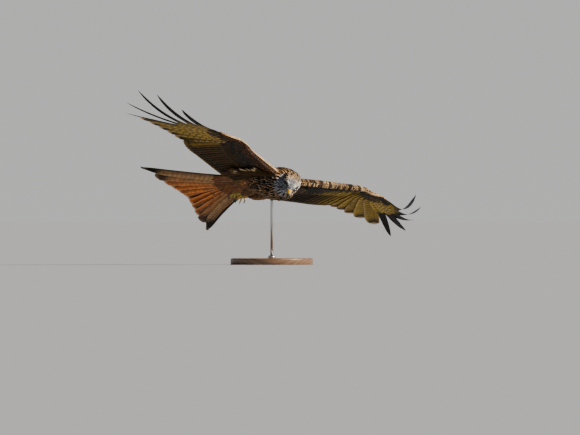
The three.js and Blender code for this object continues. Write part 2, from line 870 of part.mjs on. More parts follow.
const baseProfile = [
  new THREE.Vector2(0, 0),
  new THREE.Vector2(BASE.radius, 0),
  new THREE.Vector2(BASE.radius, BASE.height - BASE.bevel),
  new THREE.Vector2(BASE.radius - BASE.bevel * 0.3, BASE.height - BASE.bevel * 0.3),
  new THREE.Vector2(BASE.radius - BASE.bevel, BASE.height),
  new THREE.Vector2(0, BASE.height),
];
const collarProfile = [
  new THREE.Vector2(ROD.radius + GAP, 0),
  new THREE.Vector2(ROD.collar, 0),
  new THREE.Vector2(ROD.collar, ROD.collarHeight * 0.7),
  new THREE.Vector2(ROD.collar * 0.75, ROD.collarHeight),
  new THREE.Vector2(ROD.radius + GAP, ROD.collarHeight),
  new THREE.Vector2(ROD.radius + GAP, 0),
];
const turned = (profile, sides) =>
  geometryOf(solid(new THREE.LatheGeometry(profile, sides).rotateX(Math.PI / 2)));

const rodLength = BODY_HEIGHT - BASE.height;
const rod = new THREE.CylinderGeometry(ROD.radius, ROD.radius, rodLength, 24)
  .rotateX(Math.PI / 2)
  .translate(0, 0, BASE.height + GAP + rodLength / 2);
const belly = solid(loft(torsoRings(GAP)).applyMatrix4(bird.matrixWorld));

const stand = new THREE.Group();
stand.add(mesh("stand_base", turned(baseProfile, 40), COLOR.wood, 0.5));
const collar = mesh("stand_collar", turned(collarProfile, 16), COLOR.steel, 0.3, 0.9);
collar.position.z = BASE.height + GAP;
stand.add(collar);
stand.add(
  mesh("stand_rod", geometryOf(largest(solid(rod).subtract(belly))), COLOR.steel, 0.3, 0.9),
);

const model = new THREE.Group();
model.add(bird, stand);
export default model;
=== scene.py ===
import math

import bmesh
import bpy
import numpy as np
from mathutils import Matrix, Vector
from mathutils.bvhtree import BVHTree


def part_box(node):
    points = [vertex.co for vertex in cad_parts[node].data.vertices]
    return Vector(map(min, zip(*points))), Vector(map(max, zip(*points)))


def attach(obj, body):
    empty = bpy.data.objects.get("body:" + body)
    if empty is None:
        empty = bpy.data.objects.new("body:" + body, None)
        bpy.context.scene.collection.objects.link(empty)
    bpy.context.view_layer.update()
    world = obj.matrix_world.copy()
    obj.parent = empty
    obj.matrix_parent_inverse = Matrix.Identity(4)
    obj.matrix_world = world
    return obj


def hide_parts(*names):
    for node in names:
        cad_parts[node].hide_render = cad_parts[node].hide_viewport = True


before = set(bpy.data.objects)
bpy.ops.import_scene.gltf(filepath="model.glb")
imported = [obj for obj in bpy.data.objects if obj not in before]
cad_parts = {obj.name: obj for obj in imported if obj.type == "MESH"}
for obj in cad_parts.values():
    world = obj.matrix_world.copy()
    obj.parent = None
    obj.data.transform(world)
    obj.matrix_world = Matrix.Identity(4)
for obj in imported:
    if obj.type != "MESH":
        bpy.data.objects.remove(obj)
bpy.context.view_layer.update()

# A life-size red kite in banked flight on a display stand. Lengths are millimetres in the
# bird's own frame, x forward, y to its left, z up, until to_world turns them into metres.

SEED = 11
rng = np.random.default_rng(SEED)

# Attitude of the bird on the stand
HEADING, PITCH, BANK = -49, -0.8, 17.8
BODY_HEIGHT = 300
SUPPORT = np.array([-52, 0, -30])

# Wing bones and flight feathers
SHOULDER = np.array([20, 50, 20])
ARM = 300
HAND = 108
ARM_DEPTH = 262
WRIST_BULGE = 12
PRIMARIES = 10
PRIMARY_ROOT = 8.8
SECONDARIES = 18
SHINGLE = 1.05
AXILLARIES = 8
PRIMARY_LENGTH = [240, 250, 266, 290, 326, 388, 420, 428, 412, 322]
PRIMARY_ANGLE = [79, 71, 62, 52, 41, 31, 23, 16, 10, 5]
BEND_FROM, BEND_TO = 0.33, 0.91
WING_POSE = {
    "left": dict(arm=(7.1, 12.2, -12.7), hand=(-7.2, 1.2, -13.6),
                 bend=(-9, 4, 19, 35, 53), turn=(-1.2, 0.9, 4.4, 6.5, 8)),
    "right": dict(arm=(15.1, 6.9, -7), hand=(15.1, -5.4, 0.3),
                  bend=(0, 10, 25.5, 21.5, 11.5), turn=(4.7, 4.2, 2.3, -5.3, -10.9)),
}
AEROFOIL_X = [0, 0.03, 0.07, 0.25, 0.55, 0.85, 1]
AEROFOIL_Z = [0.3, 0.55, 0.75, 1, 0.72, 0.3, 0.16]

# Tail
TAIL = dict(x=-200, z=0, pitch=-15.4, yaw=10.3, roll=-16.4, spread=57.6, root=4.8)
RECTRIX_LENGTH = [270, 278, 291, 309, 332, 362]
TAIL_CURVE = 40
RIGHT_CORNER = dict(longer=14, wider=1)

# Body sections: place along, centre height, half width, half height
TORSO = [(49, 4, 33, 32), (38, 1, 46, 46), (16, -3, 58, 57), (-15, -6, 62, 61), (-50, -7, 58, 58),
         (-90, -6, 49, 49), (-130, -4, 39, 39), (-165, -2, 29, 29), (-190, 0, 22, 21),
         (-203, 0, 18, 16)]
NECK = [(42, -3, 3, 41), (55, -9, 4, 37), (68, -17, 4, 33)]
RUMP = [(14, 0, 17, 13), (-8, 0, 26, 12), (-30, 0, 31, 8), (-48, 0, 30, 4), (-60, 0, 24, 1.5)]
HEAD = dict(x=82, y=-29, z=-20, yaw=-38, pitch=58, roll=-14)
SKULL = [(-33, 0.5, 27, 26), (-26, 1.2, 29.5, 28.5), (-16, 2, 30, 29), (-6, 2.5, 28.5, 27.5),
         (5, 2.5, 25, 24), (15, 1.5, 20.5, 20), (24, -0.8, 15, 16), (30, -3, 11, 12)]
CERE = [(25, 0.3, 9.8, 8.6), (31, 0, 8.9, 8.5), (36.5, -0.5, 7.7, 8.1)]
BILL_UPPER = [(36.8, -0.8, 7.3, 7.8), (41, -1.6, 6.2, 7.1), (46, -3.4, 4.9, 6.2),
              (50.5, -6.4, 3.6, 5.2), (53.8, -10.6, 2.4, 4.4), (55.2, -15.6, 1.1, 2.6),
              (54.8, -19, 0.4, 0.8)]
BILL_LOWER = [(26, -11.8, 7.2, 2.7), (34, -11.9, 6.2, 2.4), (41, -12.2, 4.8, 1.9),
              (46.5, -12.8, 3.2, 1.3)]
EYE = dict(x=12.5, y=17.6, z=3, radius=6.6)
THIGH = [(-92, 26, -30, 14), (-120, 28, -40, 18), (-148, 25, -46, 16), (-172, 21, -49, 11),
         (-188, 19, -51, 7.5)]
SHANK = [(-176, 20, -49.5, 4.6), (-202, 18, -52, 4.4), (-222, 17, -53, 5.2)]
TOES = [(-26, 26, 13), (0, 32, 12), (26, 27, 13), (150, 17, 24)]
BASE = dict(radius=150, height=24, bevel=5)
ROD = dict(radius=5, collar=13, collar_height=10)
GAP = 0.3

# Depth of the body's feathers over the skin, and length of the dark line before the eye
COAT = 3.2
LORES = 13

# Vanes: from COVERED across, the part of a flight feather that lies under its neighbour when seen
# from below is painted darker, as painted shade.
# ARCH is how high the left wing's small upper coverts stand up in the middle of the arm.
COVERED = -0.42
ARCH = 6
VANE_THICKNESS = 0.42
ACROSS = np.array([-1, -0.86, -0.6, -0.3, -0.09, -0.03, 0, 0.05, 0.16, 0.45, 0.8, 1])

# Short feathers: places along them, and their width there, for broad and for narrow ones
SHORT_U = np.array([0, 0.3, 0.6, 0.84, 1])
SHORT_W = np.array([0.45, 0.9, 1, 0.72, 0.16])
LANCE_W = np.array([0.5, 1, 0.8, 0.45, 0.08])
RING_POINTS = 4
SHORT_POINTS = RING_POINTS * len(SHORT_U)

# Rows and numbers of feathers, points of the skin tried for small ones, and how far from the
# body's middle they are set
COVERT_ROWS = 13
ARM_GREAT, HAND_GREAT, THUMB = 19, 11, 4
TAIL_COVERT_ROWS = 9
RECTRICES = 12
SAMPLES, SAMPLES_QUICK = 150000, 30000
DRESSED_WIDTH = 92

# Skin: its voxel in metres, and the distance over which the plumage of two parts blends
VOXEL = 0.0024
NEAR = 7.0

# Floor, air, light and camera: linear colours, metres, and the sun's angle in degrees. The
# camera stands so far off that it sees almost without perspective.
FLOOR = (0.331, 0.350, 0.377, 1)
AIR_LOW, AIR_HIGH = (0.565, 0.56, 0.55, 1), (0.14, 0.17, 0.23, 1)
KEY_FROM = (6.0, -1.6, 3.6)
KEY_STRENGTH, KEY_ANGLE = 9.0, 7
CAMERA_FAR = 70.0
SENSOR = 36
SHOWN_WIDTH = 2.111
AXIS_RIGHT, AXIS_DOWN = 0.0252, 0.1277

BACK = np.array([-1.0, 0, 0])
FACTS = ("ground", "mark", "rim", "pattern")


def mix(a, b, t):
    return a + (b - a) * t


# Plumage colours, linear light
BLACK = np.array([0.004, 0.0035, 0.003])
DUSK = np.array([0.014, 0.009, 0.005])
UMBER = np.array([0.050, 0.026, 0.009])
BROWN = np.array([0.125, 0.060, 0.022])
RUFOUS = np.array([0.30, 0.105, 0.028])
ORANGE = np.array([0.86, 0.180, 0.006])
GOLD = np.array([0.80, 0.44, 0.15])
BUFF = np.array([0.56, 0.33, 0.15])
CREAM = np.array([0.88, 0.68, 0.42])
OLIVE = np.array([0.36, 0.225, 0.022])
ASH = np.array([0.37, 0.42, 0.52])
PALE = np.array([0.97, 0.94, 0.88])
TAIL_TOP = mix(RUFOUS, ORANGE, 0.5)


# Vectors and turns

def unit(v):
    return v / np.maximum(np.linalg.norm(v, axis=-1, keepdims=True), 1e-9)


def smooth(x, a, b):
    t = np.clip((np.asarray(x, float) - a) / (b - a), 0, 1)
    return t * t * (3 - 2 * t)


def blend(a, b, t):
    return a + (b - a) * np.asarray(t, float)[..., None]


def turn(axis, degrees):
    c, s = math.cos(math.radians(degrees)), math.sin(math.radians(degrees))
    if axis == "x":
        return np.array([[1, 0, 0], [0, c, -s], [0, s, c]])
    if axis == "y":
        return np.array([[c, 0, s], [0, 1, 0], [-s, 0, c]])
    return np.array([[c, -s, 0], [s, c, 0], [0, 0, 1]])


def about(v, axis, degrees):
    c, s = math.cos(math.radians(degrees)), math.sin(math.radians(degrees))
    return v * c + np.cross(axis, v) * s + axis * (axis @ v) * (1 - c)


BIRD_TURN = turn("z", HEADING) @ turn("y", -PITCH) @ turn("x", -BANK)
BIRD_PLACE = np.array([0, 0, BODY_HEIGHT]) - (BIRD_TURN @ SUPPORT) * [1, 1, 0]
HEAD_TURN = turn("z", HEAD["yaw"]) @ turn("y", HEAD["pitch"]) @ turn("x", HEAD["roll"])
HEAD_PLACE = np.array([HEAD["x"], HEAD["y"], HEAD["z"]])
TAIL_TURN = turn("z", TAIL["yaw"]) @ turn("y", TAIL["pitch"]) @ turn("x", TAIL["roll"])
TAIL_PLACE = np.array([TAIL["x"], 0, TAIL["z"]])


def to_world(points):
    return (np.asarray(points) @ BIRD_TURN.T + BIRD_PLACE) * 0.001


def from_head(points):
    return np.asarray(points) @ HEAD_TURN.T + HEAD_PLACE


def from_tail(points):
    return np.asarray(points) @ TAIL_TURN.T + TAIL_PLACE


def noise(points, scale, seed=0):
    """Smooth noise from -1 to 1, a sum of a few turned waves."""
    picks = np.random.default_rng(100 + seed)
    total = 0
    for k in range(5):
        wave = unit(picks.normal(size=3)) * (1.4 ** k) / scale
        total = total + np.sin(np.asarray(points) @ wave * 6.28 + picks.uniform(0, 6.28))
    return total / 2.6


# Meshes

def mesh_object(name, verts, quads, slot, material, replaces=()):
    mesh = bpy.data.meshes.new(name)
    quads = np.asarray(quads, np.int32)
    mesh.vertices.add(len(verts))
    mesh.vertices.foreach_set("co", np.asarray(verts, np.float32).ravel())
    mesh.loops.add(quads.size)
    mesh.loops.foreach_set("vertex_index", quads.ravel())
    mesh.polygons.add(len(quads))
    mesh.polygons.foreach_set("loop_start", np.arange(0, quads.size, 4, dtype=np.int32))
    mesh.update(calc_edges=True)
    return piece(name, mesh, slot, material, replaces)


def piece(name, mesh, slot, material, replaces=()):
    mesh.polygons.foreach_set("use_smooth", [True] * len(mesh.polygons))
    made = bpy.data.objects.new(name, mesh)
    bpy.context.scene.collection.objects.link(made)
    if not material:
        return made
    mesh.materials.append(material)
    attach(made, "root")
    if replaces:
        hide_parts(*replaces)
    return made


def set_colour(mesh, name, values):
    """Writes one colour, or one for each point, as a colour layer."""
    full = np.ones((len(mesh.vertices), 4), np.float32)
    full[:, :3] = values
    layer = mesh.attributes.new(name, "FLOAT_COLOR", "POINT")
    layer.data.foreach_set("color", full.ravel())


def set_uv(mesh, name, values):
    corner = np.empty(len(mesh.loops), np.int32)
    mesh.loops.foreach_get("vertex_index", corner)
    layer = mesh.uv_layers.new(name=name, do_init=False)
    layer.data.foreach_set("uv", np.asarray(values, np.float32)[corner].ravel())


def loft_mesh(name, rings):
    """A closed surface through rings of points, in metres, with its faces pointing out."""
    count, n = len(rings), len(rings[0])
    mesh = bpy.data.meshes.new(name)
    faces = []
    for k in range(count - 1):
        for j in range(n):
            after = (j + 1) % n
            faces.append((k * n + j, k * n + after, (k + 1) * n + after, (k + 1) * n + j))
    faces.append(tuple(range(n - 1, -1, -1)))
    faces.append(tuple((count - 1) * n + j for j in range(n)))
    mesh.from_pydata([tuple(p) for ring in rings for p in ring], [], faces)
    outward(mesh)
    return mesh


def outward(mesh):
    made = bmesh.new()
    made.from_mesh(mesh)
    bmesh.ops.recalc_face_normals(made, faces=made.faces)
    made.to_mesh(mesh)
    made.free()


def finer(rows, per):
    """Catmull-Rom points through rows of numbers, with per steps between two."""
    rows = np.asarray(rows, float)
    padded = np.vstack([2 * rows[0] - rows[1], rows, 2 * rows[-1] - rows[-2]])
    out = []
    for k in range(len(rows) - 1):
        a, b, c, d = padded[k: k + 4]
        for t in np.arange(per) / per:
            out.append(0.5 * (2 * b + (c - a) * t + (2 * a - 5 * b + 4 * c - d) * t ** 2
                              + (3 * b - a - 3 * c + d) * t ** 3))
    out.append(rows[-1])
    return np.array(out)


def oval_rings(sections, sides, squareness=2.1, grow=0, per=4):
    around = np.linspace(0, 2 * math.pi, sides, endpoint=False)
    power = 2 / squareness
    c, s = np.cos(around), np.sin(around)
    rings = []
    for x, z, wide, high in finer(sections, per):
        y = np.sign(c) * np.abs(c) ** power * max(wide + grow, 0.2)
        up = np.sign(s) * np.abs(s) ** power * max(high + grow, 0.2)
        rings.append(np.stack([np.full(sides, x), y, z + up], 1))
    return rings


def tube_rings(points, radii, sides):
    points, radii = np.asarray(points, float), np.asarray(radii, float)
    ahead = unit(np.gradient(points, axis=0))
    side = np.cross([0, 0, 1.0], ahead[0])
    around = np.linspace(0, 2 * math.pi, sides, endpoint=False)
    rings = []
    for p, r, a in zip(points, radii, ahead):
        side = unit(side - a * (side @ a))
        up = np.cross(a, side)
        rings.append(p + r * (np.outer(np.cos(around), side) + np.outer(np.sin(around), up)))
    return rings


# Wings, worked out as left ones. The right one is mirrored at the end.

def wing_axes(sweep, dihedral, twist):
    place = turn("x", dihedral) @ turn("z", -sweep)
    out = place @ np.array([0, 1.0, 0])
    back = about(place @ BACK, out, twist)
    up = about(place @ np.array([0, 0, 1.0]), out, twist)
    return dict(out=out, back=back, up=up)


def root_back(t):
    return 16 + 130 * (1 - t) * (0.35 + 0.65 * t)


class Wing:
    def __init__(self, side):
        pose = WING_POSE[side]
        self.side = side
        self.arm = wing_axes(*pose["arm"])
        self.hand = wing_axes(*pose["hand"])
        self.bend, self.turn = pose["bend"], pose["turn"]
        self.wrist = SHOULDER + self.arm["out"] * ARM

    def mirror(self, points):
        return points * [1, -1, 1] if self.side == "right" else points

    def body_back(self):
        up = self.arm["up"]
        return unit(BACK - up * (BACK @ up))

    def secondary_way(self, t):
        return unit(self.body_back() * (1 - 0.35 * t) + self.arm["back"] * 0.35 * t
                    + self.arm["out"] * 0.12 * t)

    def primary_angle(self, i):
        low = int(math.floor(i))
        if i > low:
            return mix(self.primary_angle(low), self.primary_angle(low + 1), i - low)
        if low > 5:
            return PRIMARY_ANGLE[low - 1] + self.turn[low - 6]
        beside = math.degrees(math.acos(self.secondary_way(1) @ self.hand["out"]))
        first = beside - 4 - PRIMARY_ANGLE[0]
        return PRIMARY_ANGLE[low - 1] + mix(first, self.turn[0], (low - 1) / 5)

    def primary(self, i):
        """Root, direction and upper side of a primary, also between two of them."""
        angle = math.radians(self.primary_angle(i))
        up = unit(mix(self.arm["up"], self.hand["up"], min(1, i / 6)))
        way = self.hand["out"] * math.cos(angle) + self.hand["back"] * math.sin(angle)
        way = unit(way - up * (way @ up))
        root = self.wrist + self.hand["out"] * (10 + PRIMARY_ROOT * i)
        return root + self.hand["back"] * (15 - 0.6 * i), way, up

    def primary_pitch(self, i, distance):
        lower = self.primary_angle(max(i - 1, 1))
        upper = self.primary_angle(max(i, 2))
        middle = math.radians((lower + upper) / 2)
        return PRIMARY_ROOT * math.sin(middle) + distance * math.radians(lower - upper)

    def flesh(self, t):
        """Axes, leading edge, depth and half thickness of the wing's flesh at a station."""
        on_hand = float(smooth(t, 0.93, 1.07))
        out = unit(mix(self.arm["out"], self.hand["out"], on_hand))
        back = unit(mix(self.arm["back"], self.hand["back"], on_hand))
        up = unit(np.cross(out, back)) * -1
        if up @ self.arm["up"] < 0:
            up = -up
        if t <= 1:
            p = SHOULDER + self.arm["out"] * ARM * t
            inner = max(t, 0)
            depth, half = root_back(t) + mix(34, 22, inner), mix(18, 9, inner)
        else:
            p = self.wrist + self.hand["out"] * HAND * (t - 1)
            depth, half = mix(38, 14, t - 1), mix(9, 3.4, t - 1)
        p = p - back * WRIST_BULGE * math.exp(-(((t - 0.86) / 0.16) ** 2))
        return dict(out=out, back=back, up=up, p=p, depth=depth, half=half)

    def way_at(self, t):
        """How the coverts lie at a station: back on the arm, fanning outwards on the hand."""
        if t <= 0.97:
            return self.secondary_way(max(t, 0))
        i = np.clip((t - 1) * HAND / PRIMARY_ROOT - 0.5, 1, 10)
        hand = self.primary(i)[1]
        return unit(mix(self.secondary_way(1), hand, float(smooth(t, 0.97, 1.12))))

    def skin_rings(self, grow):
        rings = []
        for t in np.linspace(-0.2, 1.96, 46):
            f = self.flesh(t)
            x = np.array([0, 0.02, 0.07, 0.16, 0.3, 0.5, 0.7, 0.86, 1])
            z = np.interp(x, AEROFOIL_X, AEROFOIL_Z) * f["half"]
            ring = []
            for face in (1, -1):
                order = range(len(x)) if face > 0 else range(len(x) - 1, -1, -1)
                for j in order:
                    rise = face * max(z[j] + grow, 0.4) + 1.5 * math.sin(math.pi * x[j])
                    ring.append(f["p"] + f["back"] * (x[j] * (f["depth"] + grow) - grow)
                                + f["up"] * rise)
            rings.append(self.mirror(np.array(ring)))
        return rings


# Feathers: many vanes gathered for one mesh

class Pile:
    def __init__(self, cells=1):
        self.verts, self.quads, self.count = [], [], 0
        self.cells, self.cell = cells, 0
        self.facts = {key: [] for key in FACTS + ("vane", "metric", "bake")}

    def add(self, verts, quads, **facts):
        self.quads.append(np.asarray(quads) + self.count)
        self.verts.append(verts)
        self.count += len(verts)
        for key, values in facts.items():
            self.facts[key].append(np.asarray(values, float))

    def build(self, name, slot, material, replaces=()):
        made = mesh_object(name, to_world(np.vstack(self.verts)), np.vstack(self.quads),
                           slot, material, replaces)
        for key in FACTS:
            set_colour(made.data, key, np.vstack(self.facts[key]))
        set_uv(made.data, "OFBake", np.vstack(self.facts["bake"]))
        set_uv(made.data, "Vane", np.vstack(self.facts["vane"]))
        set_uv(made.data, "Metric", np.vstack(self.facts["metric"]))
        return made


def plain_share(u, quill=0.16, blunt=0.8):
    """Share of the full width along a feather: narrow quill, broad vane, round tip."""
    tip = np.sqrt(np.clip(1 - (np.clip(u - blunt, 0, 1) / (1 - blunt)) ** 2, 0, 1))
    share = mix(0.2, 1, smooth(u, 0, quill)) * tip
    return np.maximum(share, 0.05)


def finger_share(u, narrow):
    """A finger is broad to its notch, then a blade that tapers to a point."""
    taper = 1 - 0.72 * np.clip((u - 0.5) / 0.5, 0, 1) ** 1.8
    blade = mix(1, narrow, smooth(u, 0.34, 0.5)) * taper
    point = np.sqrt(np.clip(1 - (np.clip(u - 0.86, 0, 1) / 0.14) ** 2, 0, 1))
    return np.maximum(mix(0.2, 1, smooth(u, 0, 0.16)) * blade * point, 0.04)


def long_vane(root, along, up, length, outer, inner, *, side=-1, bend=0, tilt=None, rows=56,
              outer_share=None, inner_share=None, inner_limit=None, sag=2.0, curve=0, slant=0.5,
              splits=3, quill=1.5, blunt=0.8):
    """A flight feather: two sheets with a ridge for the shaft, closed at the edges."""
    u = 1 - (1 - np.linspace(0, 1, rows)) ** 1.25
    angle = np.radians(bend) * np.clip((u - BEND_FROM) / (BEND_TO - BEND_FROM), 0, 1)
    tangent = np.outer(np.cos(angle), along) + np.outer(np.sin(angle), up)
    normal = np.outer(np.cos(angle), up) - np.outer(np.sin(angle), along)
    step = np.diff(u, prepend=0)[:, None] * length
    centre = root + np.cumsum(tangent * step, axis=0)
    out = unit(np.cross(up, along)) * side
    centre = centre + out * (curve * (u * u - u))[:, None]
    slope = np.array([tilt(d) for d in u * length]) if tilt else np.zeros(rows)
    across = unit(out + normal * slope[:, None])
    face = unit(normal - across * np.sum(normal * across, axis=1, keepdims=True))
    plain_width = plain_share(u, blunt=blunt)
    wide_out = outer * (outer_share(u) if outer_share else plain_width)
    wide_in = inner * (inner_share(u) if inner_share else plain_width)
    if inner_limit:
        wide_in = np.minimum(wide_in, inner_limit(u * length))
    for edge in (wide_out, wide_in):
        edge *= 1 + 0.012 * rng.normal(size=rows)
        for _ in range(rng.integers(0, splits + 1)):
            at = rng.integers(rows // 3, rows - 4)
            edge[at] *= rng.uniform(0.6, 0.85)
    v = ACROSS[None, :]
    reach = np.where(v < 0, v * wide_in[:, None], v * wide_out[:, None])
    lag = slant * np.abs(reach) * smooth(1 - u, 0, 0.12)[:, None]
    dip = -sag * v ** 2 * plain_share(u)[:, None]
    ridge = quill * (1 - 0.85 * u)[:, None] * np.exp(-((np.abs(v) / 0.035) ** 2))
    base = (centre[:, None] + across[:, None] * reach[..., None] + tangent[:, None] * lag[..., None]
            + face[:, None] * dip[..., None])
    half = VANE_THICKNESS / 2 * np.where(np.abs(v) > 0.95, 0.35, 1)
    top = base + face[:, None] * (half + 0.35 * ridge)[..., None]
    low = base - face[:, None] * (half + 0.45 * ridge)[..., None]
    verts = np.concatenate([top.reshape(-1, 3), low.reshape(-1, 3)])
    n = len(ACROSS)
    shift = rng.uniform(-7, 7)
    far = u[:, None] * length + shift + 0 * reach
    metric = np.stack([reach.ravel(), far.ravel()], 1) * 0.001
    return dict(verts=verts, quads=sheet_quads(rows, n, side), u=np.tile(np.repeat(u, n), 2),
                v=np.tile(ACROSS, 2 * rows), top=np.repeat([1.0, 0.0], rows * n),
                metric=np.tile(metric, (2, 1)))


QUADS = {}


def sheet_quads(rows, n, side):
    key = (rows, n, side)
    if key in QUADS:
        return QUADS[key]
    index = np.arange(rows * n).reshape(rows, n)
    low = index + rows * n
    top = np.stack([index[:-1, :-1], index[1:, :-1], index[1:, 1:], index[:-1, 1:]], -1)
    under = np.stack([low[:-1, :-1], low[:-1, 1:], low[1:, 1:], low[1:, :-1]], -1)

    def wall(a, b):
        return np.stack([a[:-1], b[:-1], b[1:], a[1:]], -1)

    walls = [wall(index[:, 0], low[:, 0]), wall(low[:, -1], index[:, -1]),
             wall(low[0], index[0]), wall(index[-1], low[-1])]
    quads = np.concatenate([top.reshape(-1, 4), under.reshape(-1, 4)] + walls)
    if side > 0:
        quads = quads[:, ::-1]
    QUADS[key] = quads
    return quads


def add_long(pile, vane, paint, wing=None):
    """Adds a flight feather, painted along u and across v, with the next strip of the bake."""
    verts, quads = vane["verts"], vane["quads"]
    if wing is not None and wing.side == "right":
        verts, quads = wing.mirror(verts), quads[:, ::-1]
    u, v, top = vane["u"], vane["v"], vane["top"]
    facts = paint(u, v, top)
    width = 1 / (2 * pile.cells)
    left = (2 * pile.cell + (1 - top)) * width
    bake = np.stack([left + width * (0.08 + 0.84 * (v + 1) / 2), 0.01 + 0.98 * u], 1)
    pile.add(verts, quads, vane=np.stack([(v + 1) / 2, u], 1), metric=vane["metric"],
             bake=bake, **facts)
    pile.cell += 1


def paint_with(ground, mark, rim, streak, bars, edge):
    """Painter of a feather with colours and pattern given as values or functions."""
    def value(x, u, v, top):
        return x(u, v, top) if callable(x) else x

    def paint(u, v, top):
        colours = {}
        for key, source in (("ground", ground), ("mark", mark), ("rim", rim)):
            colours[key] = np.broadcast_to(value(source, u, v, top), (len(u), 3))
        levels = [np.broadcast_to(value(x, u, v, top), (len(u),)) for x in (streak, bars, edge)]
        colours["pattern"] = np.stack(levels, 1)
        return colours
    return paint


def plain_colours(paint):
    """The colours of a painter at one place, for a feather too small to show more."""
    return paint(*np.zeros((3, 1)))


# Short feathers: a batch of small vanes, each through five places with its normals

def add_short(pile, places, normals, widths, facts, bake, profile=SHORT_W):
    """places and normals are (count, 5, 3): one closed vane of four sides for each feather."""
    ridge, cup = 0.5, 0.12
    count = len(places)
    along = unit(np.gradient(places, axis=1))
    across = unit(np.cross(normals, along))
    face = unit(np.cross(along, across))
    half = (widths[:, None] * profile[None, :] / 2)[..., None]
    sink = face * half * cup
    ring = np.stack([places - across * half - sink, places + face * ridge * np.minimum(half, 1),
                     places + across * half - sink, places - face * 0.12 - sink * 0.5], axis=2)
    verts = ring.reshape(-1, 3)
    k, j = np.meshgrid(np.arange(len(SHORT_U) - 1), np.arange(RING_POINTS), indexing="ij")
    after = (j + 1) % 4
    one = np.stack([k * 4 + j, (k + 1) * 4 + j, (k + 1) * 4 + after, k * 4 + after], -1)
    one = np.concatenate([one.reshape(-1, 4), [[0, 1, 2, 3]], [[19, 18, 17, 16]]])
    quads = (one[None] + SHORT_POINTS * np.arange(count)[:, None, None]).reshape(-1, 4)
    u = np.tile(np.repeat(SHORT_U, RING_POINTS), count)
    v = np.tile([0, 0.5, 1, 0.5], len(SHORT_U) * count)
    length = np.linalg.norm(np.diff(places, axis=1), axis=2).sum(axis=1)

    def each(values):
        return np.repeat(values, SHORT_POINTS, axis=0)

    metric = np.stack([(v - 0.5) * each(widths), u * each(length)], 1) * 0.001
    patch = each(bake) + 0.003 * np.stack([v - 0.5, u - 0.5], 1)
    wide = {key: each(facts[key]) for key in FACTS}
    pile.add(verts, quads, vane=np.stack([v, u], 1), metric=metric, bake=patch, **wide)


# Materials

class Nodes:
    """A short way to write a node tree."""

    def __init__(self, name):
        self.material = bpy.data.materials.new(name)
        self.material.use_nodes = True
        self.tree = self.material.node_tree
        self.shader = self.tree.nodes["Principled BSDF"]

    def node(self, kind, inputs=(), **options):
        made = self.tree.nodes.new(kind)
        for key, value in options.items():
            setattr(made, key, value)
        for key, value in dict(inputs).items():
            self.join(made.inputs[key], value)
        return made

    def join(self, socket, value):
        if isinstance(value, bpy.types.NodeSocket):
            self.tree.links.new(value, socket)
        else:
            socket.default_value = value

    def math(self, operation, *values, clamp=False):
        made = self.node("ShaderNodeMath", dict(enumerate(values)), operation=operation)
        made.use_clamp = clamp
        return made.outputs[0]

    def ramp(self, value, low, high, start=0.0, end=1.0):
        inputs = {"Value": value, "From Min": low, "From Max": high, "To Min": start, "To Max": end}
        made = self.node("ShaderNodeMapRange", inputs, interpolation_type="SMOOTHSTEP")
        return made.outputs["Result"]

    def mix(self, factor, a, b, kind="MIX"):
        made = self.node("ShaderNodeMix", data_type="RGBA", blend_type=kind)
        self.join(made.inputs[0], factor)
        self.join(made.inputs[6], a)
        self.join(made.inputs[7], b)
        return made.outputs[2]

    def colour(self, name):
        return self.node("ShaderNodeAttribute", attribute_name=name).outputs["Color"]

    def noise(self, vector, scale, detail=2.0):
        inputs = {"Vector": vector, "Scale": scale, "Detail": detail}
        return self.node("ShaderNodeTexNoise", inputs).outputs["Fac"]

    def place(self):
        return self.node("ShaderNodeTexCoord").outputs["Object"]

    def uv(self, name):
        made = self.node("ShaderNodeUVMap", uv_map=name)
        return self.node("ShaderNodeSeparateXYZ", {0: made.outputs[0]}).outputs

    def bump(self, height, strength, distance):
        inputs = {"Height": height, "Strength": strength, "Distance": distance}
        return self.node("ShaderNodeBump", inputs).outputs[0]

    def finish(self, colour=None, roughness=None, normal=None, **fixed):
        if colour is not None:
            self.join(self.shader.inputs["Base Color"], colour)
        if roughness is not None:
            self.join(self.shader.inputs["Roughness"], roughness)
        if normal is not None:
            self.join(self.shader.inputs["Normal"], normal)
        for key, value in fixed.items():
            self.shader.inputs[key.replace("_", " ")].default_value = value
        return self.material


